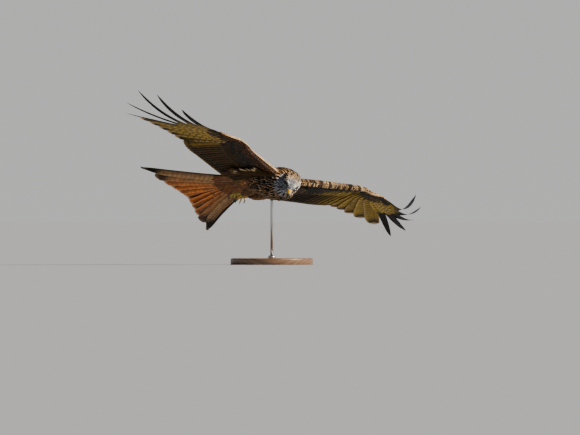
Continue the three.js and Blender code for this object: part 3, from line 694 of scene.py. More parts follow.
def feather_material(name, *, bar_gap=0.021, barb_gap=0.0011, roughness=0.62, sheen=0.05,
                     shine=0.15, grain=0.2, rim_from=(0.62, 0.80)):
    n = Nodes(name)
    across, along = n.uv("Vane")[:2]
    wide, far = n.uv("Metric")[:2]
    levels = n.node("ShaderNodeSeparateColor", {0: n.colour("pattern")}).outputs
    place = n.place()
    fleck = n.noise(place, 420.0)
    blotch = n.noise(place, 60.0)
    from_shaft = n.math("ABSOLUTE", n.math("SUBTRACT", n.math("MULTIPLY", across, 2.0), 1.0))
    ragged = n.math("ADD", from_shaft, n.math("MULTIPLY", n.math("SUBTRACT", fleck, 0.5), 0.22))
    taper = n.math("MULTIPLY", levels[0], n.ramp(along, 0.5, 1.0, 1.0, 0.35))
    streak = n.ramp(n.math("SUBTRACT", taper, ragged), -0.06, 0.08)
    wave = n.math("ADD", n.math("MULTIPLY", far, 6.283 / bar_gap),
                  n.math("MULTIPLY", n.math("SUBTRACT", blotch, 0.5), 3.0))
    wave = n.math("ADD", wave, n.math("MULTIPLY", n.math("ABSOLUTE", wide), 70.0))
    bars = n.math("MULTIPLY", n.ramp(n.math("SINE", wave), 0.1, 0.75), levels[1])
    side_rim = n.ramp(ragged, rim_from[0], mix(rim_from[0], 1, 0.6))
    tip_rim = n.ramp(along, rim_from[1], mix(rim_from[1], 1, 0.6))
    rim = n.math("MULTIPLY", n.math("MAXIMUM", side_rim, tip_rim), levels[2])
    colour = n.mix(rim, n.colour("ground"), n.colour("rim"))
    colour = n.mix(n.math("MAXIMUM", streak, bars), colour, n.colour("mark"))
    barb = n.math("ADD", far, n.math("MULTIPLY", n.math("ABSOLUTE", wide), -0.9))
    barb = n.math("SINE", n.math("MULTIPLY", barb, 6.283 / barb_gap))
    shade = n.math("ADD", n.ramp(blotch, 0.25, 0.75, 1.0 - grain, 1.0 + grain),
                   n.math("MULTIPLY", barb, 0.05))
    grey = n.node("ShaderNodeCombineXYZ", {0: shade, 1: shade, 2: shade}).outputs[0]
    colour = n.mix(1.0, colour, grey, "MULTIPLY")
    shaft = n.ramp(n.math("ABSOLUTE", wide), 0.0004, 0.0011, 0.35, 0.0)
    colour = n.mix(shaft, colour, n.colour("mark"))
    normal = n.bump(barb, 0.25, 0.00008)
    rough = n.ramp(fleck, 0.2, 0.8, roughness - 0.08, roughness + 0.08)
    return n.finish(colour, rough, normal, Sheen_Weight=sheen, Sheen_Roughness=0.4,
                    Specular_IOR_Level=shine)


def painted_skin(name):
    n = Nodes(name)
    place = n.place()
    down = n.noise(place, 700.0, 4.0)
    colour = n.mix(n.ramp(down, 0.3, 0.7), n.colour("ground"), n.colour("mark"))
    return n.finish(colour, 0.8, n.bump(down, 0.5, 0.0006))


def horn_material(name, pale, dark):
    n = Nodes(name)
    grow = n.node("ShaderNodeSeparateColor", {0: n.colour("ground")}).outputs[0]
    lines = n.noise(n.place(), 900.0, 3.0)
    fac = n.math("ADD", grow, n.math("MULTIPLY", n.math("SUBTRACT", lines, 0.5), 0.25), clamp=True)
    colour = n.mix(fac, pale, dark)
    rough = n.ramp(lines, 0.2, 0.8, 0.22, 0.36)
    return n.finish(colour, rough, n.bump(lines, 0.15, 0.0002), Coat_Weight=0.25)


def waxy_material(name, base, deep, scale):
    n = Nodes(name)
    cells = n.node("ShaderNodeTexVoronoi", {"Vector": n.place(), "Scale": scale},
                   feature="DISTANCE_TO_EDGE").outputs["Distance"]
    groove = n.ramp(cells, 0.0, 0.09)
    colour = n.mix(groove, deep, base)
    colour = n.mix(n.math("MULTIPLY", n.noise(n.place(), 260.0), 0.5), colour, n.colour("ground"))
    return n.finish(colour, n.ramp(cells, 0.0, 0.2, 0.6, 0.42), n.bump(groove, 0.6, 0.0003),
                    Subsurface_Weight=0.08)


def eye_material():
    n = Nodes("eye_glass")
    far = n.node("ShaderNodeSeparateColor", {0: n.colour("ground")}).outputs[0]
    rays = n.noise(n.place(), 1800.0, 3.0)
    iris = n.mix(n.ramp(rays, 0.3, 0.7), (0.34, 0.25, 0.07, 1), (0.15, 0.10, 0.03, 1))
    ring = n.ramp(far, 0.60, 0.72)
    colour = n.mix(ring, iris, (0.012, 0.010, 0.009, 1))
    colour = n.mix(n.ramp(far, 0.28, 0.33, 1.0, 0.0), colour, (0.003, 0.003, 0.003, 1))
    return n.finish(colour, 0.06, None, Coat_Weight=1.0, Coat_Roughness=0.02)


def wood_material():
    n = Nodes("stand_oiled_wood")
    log = n.node("ShaderNodeMapping", {"Vector": n.place(), "Location": (0.0, 0.03, 0.09),
                                       "Scale": (0.12, 1.0, 1.0)}).outputs[0]
    rings = n.node("ShaderNodeTexWave", {"Vector": log, "Scale": 26.0, "Distortion": 2.2,
                                         "Detail": 3.0, "Detail Scale": 2.0},
                   wave_type="RINGS", rings_direction="X").outputs["Fac"]
    fibre = n.node("ShaderNodeMapping", {"Vector": n.place(), "Scale": (0.05, 1.0, 1.0)}).outputs[0]
    pores = n.noise(fibre, 900.0, 2.0)
    wander = n.noise(log, 14.0, 3.0)
    colour = n.mix(n.ramp(rings, 0.1, 0.95), (0.185, 0.098, 0.048, 1), (0.11, 0.054, 0.026, 1))
    colour = n.mix(n.math("MULTIPLY", wander, 0.4), colour, (0.24, 0.135, 0.07, 1))
    colour = n.mix(n.ramp(pores, 0.60, 0.75, 0.0, 0.45), colour, (0.05, 0.025, 0.012, 1))
    return n.finish(colour, n.ramp(pores, 0.3, 0.7, 0.36, 0.48), n.bump(pores, 0.15, 0.0001),
                    Coat_Weight=0.12, Coat_Roughness=0.3)


def steel_material():
    n = Nodes("stand_brushed_steel")
    stretch = n.node("ShaderNodeMapping", {"Vector": n.place(), "Scale": (900.0, 900.0, 12.0)})
    scratch = n.noise(stretch.outputs[0], 1.0, 3.0)
    colour = n.mix(scratch, (0.42, 0.43, 0.44, 1), (0.62, 0.62, 0.62, 1))
    return n.finish(colour, n.ramp(scratch, 0.2, 0.8, 0.24, 0.40), n.bump(scratch, 0.12, 0.0001),
                    Metallic=1.0)


WING_VANES = feather_material("feathers_wing", bar_gap=0.024, roughness=0.6, sheen=0.01, shine=0.09,
                              rim_from=(0.74, 0.90))
TAIL_VANES = feather_material("feathers_tail", bar_gap=0.017, roughness=0.55, sheen=0.03,
                              rim_from=(0.80, 0.94))
BODY_VANES = feather_material("feathers_body", roughness=0.68, sheen=0.04, grain=0.25,
                              rim_from=(0.60, 0.94))
HEAD_VANES = feather_material("feathers_head", roughness=0.7, sheen=0.06, grain=0.12)
SKIN = painted_skin("downy_skin")


# The skin: one closed surface over body, neck, head, legs and the flesh of wings and tail

def flesh_surfaces():
    """Each mass of flesh as its own closed loft, in metres, named for its plumage."""
    inset = -COAT
    masses = {"torso": oval_rings(TORSO, 40, 2.15, inset)}
    for k, (x, y, z, radius) in enumerate(NECK):
        swing = np.linspace(0.05, math.pi - 0.05, 14)
        ball = [(x - math.cos(a) * (radius + inset), z, math.sin(a) * (radius + inset),
                 math.sin(a) * (radius + inset)) for a in swing]
        masses[f"neck{k}"] = [ring + [0, y, 0] for ring in oval_rings(ball, 32, 2, 0, 1)]
    masses["head"] = [from_head(ring) for ring in oval_rings(SKULL, 40, 2.1, -1.6)]
    masses["rump"] = [from_tail(ring) for ring in oval_rings(RUMP, 28, 2.1, -1.4)]
    for side, sign in (("left", 1), ("right", -1)):
        line = finer([(x, sign * y, z, r - 2.2) for x, y, z, r in THIGH], 4)
        masses[f"leg_{side}"] = tube_rings(line[:, :3], line[:, 3], 24)
        masses[f"wing_{side}"] = Wing(side).skin_rings(-1.6)
    return {name: loft_mesh(name, [to_world(r) for r in rings]) for name, rings in masses.items()}


FLESH = flesh_surfaces()


def tree_of(mesh):
    return BVHTree.FromPolygons([v.co for v in mesh.vertices],
                                [tuple(p.vertices) for p in mesh.polygons])


FLESH_TREES = {name: tree_of(mesh) for name, mesh in FLESH.items()}


def make_skin():
    joined = bmesh.new()
    for mesh in FLESH.values():
        joined.from_mesh(mesh)
    whole = bpy.data.meshes.new("flesh")
    joined.to_mesh(whole)
    joined.free()
    raw = piece("flesh", whole, None, None)
    remesh = raw.modifiers.new("one", "REMESH")
    remesh.mode = "VOXEL"
    remesh.voxel_size = VOXEL
    relax = raw.modifiers.new("relax", "SMOOTH")
    relax.iterations = 6
    relax.factor = 0.5
    evaluated = raw.evaluated_get(bpy.context.evaluated_depsgraph_get())
    mesh = bpy.data.meshes.new_from_object(evaluated)
    bpy.data.objects.remove(raw)
    return mesh


SKIN_MESH = make_skin()


def mesh_arrays(mesh):
    verts = np.empty(len(mesh.vertices) * 3, np.float32)
    mesh.vertices.foreach_get("co", verts)
    normals = np.empty(len(mesh.vertices) * 3, np.float32)
    mesh.vertices.foreach_get("normal", normals)
    mesh.calc_loop_triangles()
    tris = np.empty(len(mesh.loop_triangles) * 3, np.int32)
    mesh.loop_triangles.foreach_get("vertices", tris)
    return verts.reshape(-1, 3), normals.reshape(-1, 3), tris.reshape(-1, 3)


def to_bird(points):
    return (np.asarray(points) * 1000 - BIRD_PLACE) @ BIRD_TURN


SKIN_VERTS, SKIN_NORMALS, SKIN_TRIS = mesh_arrays(SKIN_MESH)
SKIN_TREE = BVHTree.FromPolygons(SKIN_VERTS.tolist(), SKIN_TRIS.tolist())


def nearness(points):
    """Weight of each mass of flesh at some points of the skin, given in metres."""
    far = {}
    for name, tree in FLESH_TREES.items():
        far[name] = np.array([tree.find_nearest(Vector(p))[3] for p in points]) * 1000
    groups = {"torso": ["torso"], "neck": ["neck0", "neck1", "neck2"], "head": ["head"],
              "rump": ["rump"], "leg": ["leg_left", "leg_right"],
              "wing": ["wing_left", "wing_right"]}
    weights = {}
    for group, names in groups.items():
        least = np.min([far[name] for name in names], axis=0)
        weights[group] = np.exp(-((least / NEAR) ** 2)) + 1e-6
    weights["head"] *= 4
    total = sum(weights.values())
    return {group: w / total for group, w in weights.items()}


def head_place(points):
    return (points - HEAD_PLACE) @ HEAD_TURN


def body_facts(p, normal, near):
    """Direction, size and colours of the body's small feathers at places p of the bird."""
    count = len(p)
    side = np.sign(p[:, 1])
    up = normal[:, 2]
    flare = np.stack([-np.ones(count), 0.12 * side, -0.1 * np.ones(count)], 1)
    head_back = HEAD_TURN @ np.array([-1.0, 0, 0.1])
    thigh = unit(np.array(THIGH[-1][:3]) - np.array(THIGH[0][:3]))
    leg_way = np.stack([np.full(count, thigh[0]), side * thigh[1], np.full(count, thigh[2])], 1)
    ways = {"torso": unit(flare), "neck": unit(0.6 * head_back + 0.6 * BACK), "head": head_back,
            "leg": leg_way, "rump": TAIL_TURN @ BACK,
            "wing": unit(BACK + 0.2 * side[:, None] * [0, 1, 0])}
    way = sum(near[group][:, None] * lie for group, lie in ways.items())
    way = way + rng.normal(0, 0.10, (count, 3))
    way = unit(way - normal * np.sum(way * normal, axis=1, keepdims=True))

    h = head_place(p)
    on_head, on_neck, on_leg = near["head"], near["neck"], near["leg"]
    face = smooth(h[:, 0], -12, 18) * on_head
    under = smooth(-up, -0.35, 0.25)
    vent = smooth(-p[:, 0], 95, 150)
    breast = under * (1 - vent) * (near["torso"] + 0.5 * on_neck)
    length = mix(27 + 6 * smooth(-p[:, 0], 0, 120), 50, breast)
    width = mix(9.5, 13, breast)
    length = mix(length, 26, on_neck)
    width = mix(width, 7.5, on_neck)
    length = mix(length, mix(17, 7.0, face), on_head)
    width = mix(width, mix(5.0, 2.8, face), on_head)
    length = mix(length, 22, on_leg)
    width = mix(width, 8, on_leg)

    tone = (1 + 0.3 * rng.normal(size=count))[:, None]
    tone = np.clip(tone * (1 + 0.35 * noise(p, 34, 3))[:, None], 0.35, 2.0)
    mantle = blend(UMBER, BROWN, smooth(noise(p, 60, 1), -0.4, 0.8))
    below = blend(mix(BROWN, BUFF, 0.85), mix(BUFF, RUFOUS, 0.7) * 1.2, vent)
    ground = blend(mantle, below, under)
    nape = blend(BROWN * 1.9, GOLD * 0.85, smooth(h[:, 0], -75, -35))
    nape = blend(nape, mix(BROWN, BUFF, 0.5), under)
    ground = blend(ground, nape, on_neck)
    collar = (smooth(-np.linalg.norm(h, axis=1), -54, -38) * smooth(-up, -0.1, 0.3)
              * smooth(h[:, 0], -44, -24))
    ground = blend(ground, ASH * 1.1, collar)
    hind = smooth(-h[:, 0], 2, 20)
    # Painted shade: the bird's right side of the head, turned from the light, is painted blue-grey,
    # with darker patches and more dark streaks.
    shaded_side = smooth(-h[:, 1], -20, 3)
    patchy = smooth(noise(p, 22, 2), -1.6, 0.3)
    crown = blend(PALE, ASH * 0.45, 0.1 + 0.8 * shaded_side * patchy)
    cheek = blend(PALE, ASH, 0.72 * shaded_side)
    crown = blend(crown, cheek, face)
    golden = smooth(-h[:, 0], -14, 10) * smooth(h[:, 2], -8, 10)
    crown = blend(crown, blend(CREAM, GOLD, 0.6 * hind + 0.3 * shaded_side), 0.9 * golden)
    ahead, above = h[:, 0] - EYE["x"], h[:, 2] - EYE["z"]
    reach = np.clip(ahead / LORES, 0, 1)
    eye_far = np.hypot(ahead + 1, above * 1.2)
    lore_far = np.hypot(ahead - reach * LORES, (above + 4 * reach) * 1.1)
    sideways = smooth(np.abs(h[:, 1]), 7, 10) * on_head
    # Painted shadow: the dark patch round the eye stands for the eye and the shadow under the brow;
    # it, and the line before the eye, are painted larger and darker on the bird's left side.
    brow_shadow_side = h[:, 1] > 0
    mask = smooth(-eye_far, -13 - 1.5 * brow_shadow_side, -10 - brow_shadow_side) * sideways
    brow = smooth(-np.hypot(ahead + 1, (above - 10) * 2), -13, -6) * sideways
    lores = smooth(-lore_far, -7 - 5 * brow_shadow_side, -4 - 4 * brow_shadow_side) * sideways * (0.5 + 0.5 * brow_shadow_side)
    around = np.arctan2(h[:, 1], h[:, 2] + 8)
    lines = smooth(np.sin(20 * around + 2.2 * noise(h, 20, 5)), 0.25, 0.8)
    lines = lines * smooth(noise(h, 9, 6), -0.9, 0.2) * mix(0.8, 0.65 * shaded_side + 0.1, face)
    crown = blend(crown, PALE, 0.8 * brow)
    crown = blend(crown, DUSK, np.maximum(lines, np.maximum(mask, lores)))
    ground = blend(ground, crown, on_head)
    ground = blend(ground, BROWN * 1.2, on_leg)
    ground = blend(ground, mix(RUFOUS, BUFF, 0.3), near["rump"])
    ground = ground * tone

    mark = blend(BLACK * 0.7, UMBER * 0.8, vent * 0.8)
    mark = blend(mark, BLACK, on_head)
    rim = blend(BUFF * 0.62, mix(RUFOUS, BUFF, 0.85) * 1.6, under)
    rim = blend(rim, GOLD, on_neck * (1 - under))
    rim = blend(rim, PALE, 0.6 * collar)
    rim = blend(rim, blend(PALE, ASH, 0.7 * shaded_side), on_head)
    streak = mix(mix(0.46, 0.80, under), 0.2, vent)
    streak = mix(mix(streak, 0.6, on_neck), 0.42, collar)
    streak = mix(streak, mix(mix(0.34, 0.58, hind), mix(0.10, 0.26, shaded_side), face), on_head)
    streak = mix(streak, 0.25, on_leg) * (0.65 + 0.7 * rng.random(count))
    edge = mix(mix(mix(0.75, 0.55, under), 0.1, vent), 0.35, on_neck)
    edge = mix(edge, 0.25, on_head)
    lift = mix(mix(2.8, 3.0, under), 1.3, on_head)
    lift = mix(lift, 3.4, on_leg * 0.8) * (0.6 + 0.8 * rng.random(count))
    facts = dict(ground=ground, mark=mark, rim=rim,
                 pattern=np.stack([streak, np.zeros(count), edge], 1))
    return way, length, width, lift, facts


def body_chart(p, near):
    """Place of a feather's root on an unwrap of the body: round it and along it, by parts."""
    h = head_place(p)
    chart = np.empty((len(p), 2))
    around = np.arctan2(p[:, 1], p[:, 2]) / (2 * math.pi) + 0.5
    chart[:, 0] = 0.02 + 0.56 * around
    chart[:, 1] = 0.02 + 0.96 * np.clip((p[:, 0] + 270) / 350, 0, 1)
    on_head = near["head"] + near["neck"] > 0.5
    turn_head = np.arctan2(h[:, 1], h[:, 2]) / (2 * math.pi) + 0.5
    chart[on_head, 0] = 0.62 + 0.36 * turn_head[on_head]
    chart[on_head, 1] = 0.5 + 0.48 * np.clip((h[on_head, 0] + 75) / 110, 0, 1)
    on_leg = near["leg"] > 0.5
    right = p[:, 1] < 0
    turn_leg = np.arctan2(np.abs(p[:, 1]) - 24, p[:, 2] + 44) / (2 * math.pi) + 0.5
    chart[on_leg, 0] = 0.62 + 0.17 * turn_leg[on_leg] + 0.19 * right[on_leg]
    chart[on_leg, 1] = 0.02 + 0.44 * np.clip((p[on_leg, 0] + 200) / 120, 0, 1)
    return chart


def thin_out(points, spacing, order):
    """Keeps points, in a given order, that lie at least spacing apart."""
    cell = np.floor(points / spacing).astype(int)
    taken, kept = {}, []
    near = [(a, b, c) for a in (-1, 0, 1) for b in (-1, 0, 1) for c in (-1, 0, 1)]
    for k in order:
        p, (x, y, z) = points[k], cell[k]
        clash = False
        for a, b, c in near:
            for q in taken.get((x + a, y + b, z + c), ()):
                d = points[q] - p
                if d[0] * d[0] + d[1] * d[1] + d[2] * d[2] < spacing * spacing:
                    clash = True
                    break
            if clash:
                break
        if not clash:
            taken.setdefault((x, y, z), []).append(k)
            kept.append(k)
    return np.array(kept, int)


def skin_samples(count):
    a, b, c = (SKIN_VERTS[SKIN_TRIS[:, k]] for k in range(3))
    area = np.linalg.norm(np.cross(b - a, c - a), axis=1)
    pick = rng.choice(len(area), count, p=area / area.sum())
    r, s = np.sqrt(rng.random(count)), rng.random(count)
    w = np.stack([1 - r, r * (1 - s), r * s], 1)[..., None]
    corners = SKIN_TRIS[pick]
    points = (SKIN_VERTS[corners] * w).sum(axis=1)
    return points, unit((SKIN_NORMALS[corners] * w).sum(axis=1))


def bare(h, near):
    """Places without small feathers: eyes, cere and bill, and under the wings' own rows."""
    eye = np.linalg.norm((np.abs(h) - [EYE["x"], EYE["y"] + 2.5, EYE["z"]]) * [1, 0.4, 1], axis=1)
    beak = h[:, 0] > 26.5
    return (eye < 7.4) | (beak & (near["head"] > 0.5)) | (near["wing"] > 0.62)


def dress_body():
    world, normals = skin_samples(SAMPLES)
    p = to_bird(world)
    keep = np.abs(p[:, 1]) < DRESSED_WIDTH
    world, normals, p = world[keep], normals[keep] @ BIRD_TURN, p[keep]
    h = head_place(p)
    face_zone = (np.linalg.norm(h, axis=1) < 40) & (h[:, 0] > 2)
    head_zone = (np.linalg.norm(h, axis=1) < 46) & ~face_zone
    breast_zone = ~(face_zone | head_zone) & (normals[:, 2] < 0.3) & (p[:, 0] > -125)
    plain_zone = ~(face_zone | head_zone | breast_zone)
    # Each zone with the frame it is measured in, its spacing, and a squash below 1 that widens
    # the spacing along the body.
    zones = ((face_zone, h, 2.3, 0.6), (head_zone, h, 3.1, 0.5),
             (breast_zone, p, 6.8, 0.30), (plain_zone, p, 5.2, 0.45))
    kept = []
    for zone, places, gap, squash in zones:
        where = np.flatnonzero(zone)
        kept.append(where[thin_out(places[where] * [squash, 1, 1], gap, range(len(where)))])
    kept = np.concatenate(kept)
    world, normals, p = world[kept], normals[kept], p[kept]
    near = nearness(world)
    wanted = ~bare(head_place(p), near)
    normals, p = normals[wanted], p[wanted]
    near = {key: w[wanted] for key, w in near.items()}
    way, length, width, lift, facts = body_facts(p, normals, near)
    length = length * (0.85 + 0.3 * rng.random(len(p)))
    places = np.empty((len(p), 5, 3))
    outs = np.empty((len(p), 5, 3))
    for k, u in enumerate(SHORT_U):
        guess = p + way * (length * u)[:, None]
        for j, q in enumerate(to_world(guess)):
            spot, out, _, _ = SKIN_TREE.find_nearest(Vector(q))
            places[j, k] = spot
            outs[j, k] = out
    places = to_bird(places.reshape(-1, 3)).reshape(-1, 5, 3)
    reach = np.linalg.norm(places[:, -1] - places[:, 0], axis=1) / length
    fits = (reach > 0.6) & (reach < 1.1)
    places, outs, normals, p = places[fits], outs[fits], normals[fits], p[fits]
    lift, width = lift[fits], width[fits]
    facts = {key: x[fits] for key, x in facts.items()}
    near = {key: x[fits] for key, x in near.items()}
    outs = unit(outs @ BIRD_TURN)
    outs = unit(0.5 * outs + 0.5 * normals[:, None])
    places = places + outs * (0.3 + lift[:, None] * SHORT_U[None] ** 1.2)[..., None]
    chart = body_chart(p, near)
    lance = (near["head"] + near["neck"]) > 0.5
    for name, mask, profile, vanes in (("plumage_body", ~lance, SHORT_W, BODY_VANES),
                                       ("plumage_head", lance, LANCE_W, HEAD_VANES)):
        pile = Pile()
        chosen = {key: values[mask] for key, values in facts.items()}
        add_short(pile, places[mask], outs[mask], width[mask], chosen, chart[mask], profile)
        pile.build(name, name, vanes)


def finish_skin():
    near = nearness(SKIN_VERTS)
    p = to_bird(SKIN_VERTS)
    _, _, _, _, facts = body_facts(p, SKIN_NORMALS @ BIRD_TURN, near)
    ground = blend(facts["ground"], BROWN * 0.6, near["wing"])
    made = piece("skin", SKIN_MESH, "plumage_body", SKIN,
                 ("torso", "neck", "head", "leg_left", "leg_right"))
    set_colour(made.data, "ground", ground * 0.8)
    set_colour(made.data, "mark", ground * 0.45)


# Wings in feathers

def window(i, side):
    """Strength of the pale window under a primary, or under a secondary where i is below 1."""
    places = [-5, -0.8, 2, 9, 10] if side == "left" else [-1, 1.4, 3.2, 9, 10]
    return float(np.interp(i, places, [0, 0.55, 1, 1, 0.8]))


def flight_ground(i, side, dark_from, dark_to, tone):
    """Colour of a flight feather: dull above, the pale window below, dark to the tip, with painted
    shade where it lies under its neighbour.
    """
    def ground(u, v, top):
        # Painted shade: the part of the vane that lies under its neighbour is darkened, more on the
        # right wing than on the left.
        painted_shade = smooth(v, COVERED - 0.35, COVERED)
        pale = blend(OLIVE * 1.05 * tone, OLIVE * 0.40,
                     painted_shade * (0.25 if side == "left" else 0.8))
        dull = blend(UMBER * 0.75 * tone, BLACK, painted_shade * 0.9)
        dark = smooth(u, dark_from, dark_to)
        if i > 5:
            dark = np.maximum(dark, smooth(v, 0.05, 0.4))
        below = blend(blend(dull, pale, window(i, side) + 0 * u), BLACK, dark)
        above = blend(UMBER * 0.9 * tone, DUSK, smooth(u, 0.2, 0.7))
        # Painted sheen: the upper faces of the fingers are blended towards blue-grey.
        above = blend(above, ASH * 0.14, 0.6 * (i > 5) * smooth(u, 0.3, 0.5))
        return blend(below, above, top)

    return ground


def primary_paint(i, side):
    tone = 1 + 0.13 * rng.normal()
    finger = i > 5
    dark_from, dark_to = (0.36, 0.52) if finger else (0.72, 0.93)

    def bars(u, v, top):
        near_root = smooth(u, 0.62, 0.3) if finger else smooth(u, 0.95, 0.5)
        return (0.62 - 0.3 * top) * near_root * smooth(v, 0.0, -0.6)

    def edge(u, v, top):
        tip = 0.25 * smooth(u, 0.5, 0.3) if finger else 0.25 + 0.5 * smooth(u, 0.93, 0.99)
        return tip * (1 - 0.65 * top)

    rim = mix(GOLD, CREAM, 0.5)
    return paint_with(flight_ground(i, side, dark_from, dark_to, tone), BLACK, rim, 0.0, bars, edge)


def secondary_paint(t, i, side):
    tone = rng.uniform(0.45, 1.5)
    inner = float(smooth(1 - t, 0.72, 0.95))
    plain = flight_ground(i, side, 0.82, 0.96, tone)

    def ground(u, v, top):
        return blend(plain(u, v, top), BROWN, inner * top * smooth(u, 1.0, 0.6))

    def bars(u, v, top):
        return (0.16 + 0.16 * top) * smooth(u, 0.95, 0.7)

    return paint_with(ground, BLACK, mix(BROWN, OLIVE, 0.35), 0.0, bars,
                      lambda u, v, top: (0.25 + 0.45 * smooth(u, 0.88, 0.98)) * (1 - 0.6 * top))


def edge_paint(t, behind, side, tone):
    """Colours of the pale feathers along the leading edge, with dark ones between them; at the front
    of the right wing's upper face they are a bright gold-cream rim, painted highlight of the sunlit
    edge.
    """
    pale = mix(mix(RUFOUS, GOLD, rng.random()), CREAM, rng.uniform(0.1, 0.8))
    # Painted highlight: the sunlit top of the right wing's leading edge as a bright gold-cream band.
    if side == "right" and behind < 0:
        return paint_with(mix(GOLD, CREAM, 0.6) * max(tone, 0.9), DUSK, CREAM, 0.1, 0.0, 0.8)
    spot = noise(np.array([t * ARM, behind * 1.5, 0]), 17, 8) + rng.uniform(-0.8, 0.8)
    dark = float(smooth(spot, -0.3, 0.5))
    ground = mix(pale, BROWN * 0.4, dark) * tone
    return paint_with(ground, DUSK, pale, 0.3, 0.0, mix(0.8, 0.2, dark))


def covert_paint(row, t, face, side, behind=99.0):
    """Colours of a covert: row 0 at the leading edge to 1 at the greater coverts."""
    tone = 1 + 0.25 * rng.normal()
    # How far behind the leading edge the pale band reaches on the upper and the under face. Its
    # different reach on the two wings is painted light: wide where the left wing's edge is seen lit,
    # and on the right wing only a narrow sunlit rim on the upper face, with the shaded underside
    # left dark.
    edge = {"left": (9, -1.2), "right": (1, -9)}[side][face < 0]
    if behind < (edge if t < 1 else min(edge, 0.2)) + rng.uniform(-1.5, 1.5):
        return edge_paint(t, behind, side, tone)
    if face > 0:
        band = float(smooth(row, 0.5, 0.75) * smooth(1.02 - t, 0, 0.3))
        fore = float(smooth(0.55 - row, 0, 0.25))
        ground = mix(mix(UMBER * 1.05, BROWN * 1.7, band), mix(BROWN, RUFOUS, 0.6), fore)
        rim = mix(mix(BUFF * 0.9, CREAM * 0.85, band), mix(GOLD, CREAM, rng.random()), fore)
        return paint_with(ground * tone, DUSK, rim, mix(0.34, 0.58, fore), 0.0, 0.95)
    # Painted shade: the left wing's under coverts are painted near black, darker than the right
    # wing's.
    if side == "left":
        olive = float(smooth(row, 0.8, 0.95) * smooth(t, 0.5, 0.68) * smooth(1.05 - t, 0, 0.1))
        ground = mix(mix(BLACK, UMBER, 0.6 * rng.random()), OLIVE * 0.75, olive)
        streak, bars = 0.55 * (1 - olive), 0.5 * olive
        return paint_with(ground * tone, BLACK, mix(UMBER, OLIVE, 0.5), streak, bars, 0.4)
    ground = mix(mix(BROWN, RUFOUS, 0.35), UMBER * 0.45, float(smooth(row, 0.2, 0.6)))
    rim = mix(RUFOUS, mix(UMBER, OLIVE, 0.35), float(smooth(row, 0.3, 0.9)))
    if 0.3 < row < 1 and rng.random() < 0.10:
        rim = rim * 2
    return paint_with(ground * tone, BLACK, rim, 0.55, 0.0, mix(0.8, 0.45, row))


def axillary_paint(bright):
    """A dark feather in the wing's pit, with cream strokes before its tip."""
    strokes = [(rng.uniform(0.55, 0.93), rng.uniform(0.07, 0.14), rng.uniform(-0.9, 0.4),
                bright * rng.uniform(0.3, 1.0)) for _ in range(rng.integers(1, 4))]
    dark = mix(BLACK, UMBER, rng.uniform(0.4, 1.0))

    def ground(u, v, top):
        colour = dark
        for place, half, middle, light in strokes:
            bow = middle + 2.5 * (u - place)
            stroke = smooth(-np.abs(u - place), -half, -half * 0.4)
            stroke = stroke * smooth(-np.abs(v - bow), -0.34, -0.14)
            colour = blend(colour, mix(OLIVE, CREAM, 0.3 + 0.7 * light), stroke * light)
        return colour

    return paint_with(ground, BLACK, BROWN * 0.8, 0.0, 0.0, 0.35)


def thumb_paint():
    """Feathers of the thumb are pale below and brown with pale rims above."""
    def ground(u, v, top):
        return blend(mix(BROWN, CREAM, 0.6), UMBER * 1.5, top)

    return paint_with(ground, DUSK, CREAM, 0.0, 0.0, 0.8)


def cover_height(f, c, clear):
    """Height of the covert surface over the wing's middle at a distance behind the edge."""
    x = c / f["depth"]
    solid = float(np.interp(x, AEROFOIL_X, AEROFOIL_Z)) * f["half"] if x < 1 else 0
    return max(solid - 1.2, clear)


def wing_coverts(wing):
    """Rows of small coverts on both faces, from the leading edge back to the greater ones."""
    total = []
    for face in (1, -1):
        for row in range(COVERT_ROWS):
            share = row / (COVERT_ROWS - 1)
            count = int(mix(104, 40, share ** 0.6))
            for k in range(count):
                t = mix(-0.02, 1.93, (k + 0.5 * (row % 2) + rng.uniform(-0.2, 0.2)) / count)
                f = wing.flesh(min(t, 1.95))
                start = max(0.0, f["depth"] - (26 if t < 1 else mix(26, 8, t - 1)))
                c = mix(-3.4, start, share ** 1.15) + (rng.uniform(-1, 1) if row else 0)
                length = mix(12, mix(44, 20, float(smooth(t, 0.95, 1.9))), share ** 0.8)
                length = length * rng.uniform(0.8, 1.15)
                width = mix(6.8, 15, share ** 0.8) * (1 if t < 1 else 0.72)
                way = unit(wing.way_at(t) + f["out"] * rng.normal(0, 0.13))
                lean = way @ f["out"]
                arch = 0.0
                if wing.side == "left" and face > 0:
                    arch = ARCH * math.sin(math.pi * min(max(t, 0), 1)) * (1 - share)
                drop = way @ f["back"]
                places, normals = [], []
                for u in SHORT_U:
                    reach = length * u
                    g_c = c + reach * drop
                    clear = mix(1.0, 3.0, share) + 0.9 * u
                    wrap = math.sqrt(min(max((g_c + 3.5) / 8, 0), 1))
                    rise = (cover_height(f, max(g_c, 0), clear) + 1.1 * u + arch) * wrap
                    camber = 1.5 * math.sin(math.pi * min(max(g_c / f["depth"], 0), 1))
                    places.append(f["p"] + f["back"] * g_c + f["out"] * reach * lean
                                  + f["up"] * (face * rise + camber))
                    normals.append(f["up"] * face)
                paint = plain_colours(covert_paint(share, t, face, wing.side, c))
                chart = [0.03 + 0.94 * t / 1.95 + rng.uniform(-0.004, 0.004),
                         0.03 + 0.44 * min(max((c + 2) / 90, 0), 1) + (0.5 if face > 0 else 0)]
                places = wing.mirror(np.array(places))
                normals = wing.mirror(np.array(normals))
                total.append((places, normals, width, paint, chart))
    return total


def gather_short(items, name, slot):
    places, normals, widths, paints, bake = zip(*items)
    facts = {key: np.vstack([paint[key] for paint in paints]) for key in FACTS}
    pile = Pile()
    add_short(pile, np.array(places), np.array(normals), np.array(widths, float), facts,
              np.array(bake))
    pile.build(name, slot, BODY_VANES)


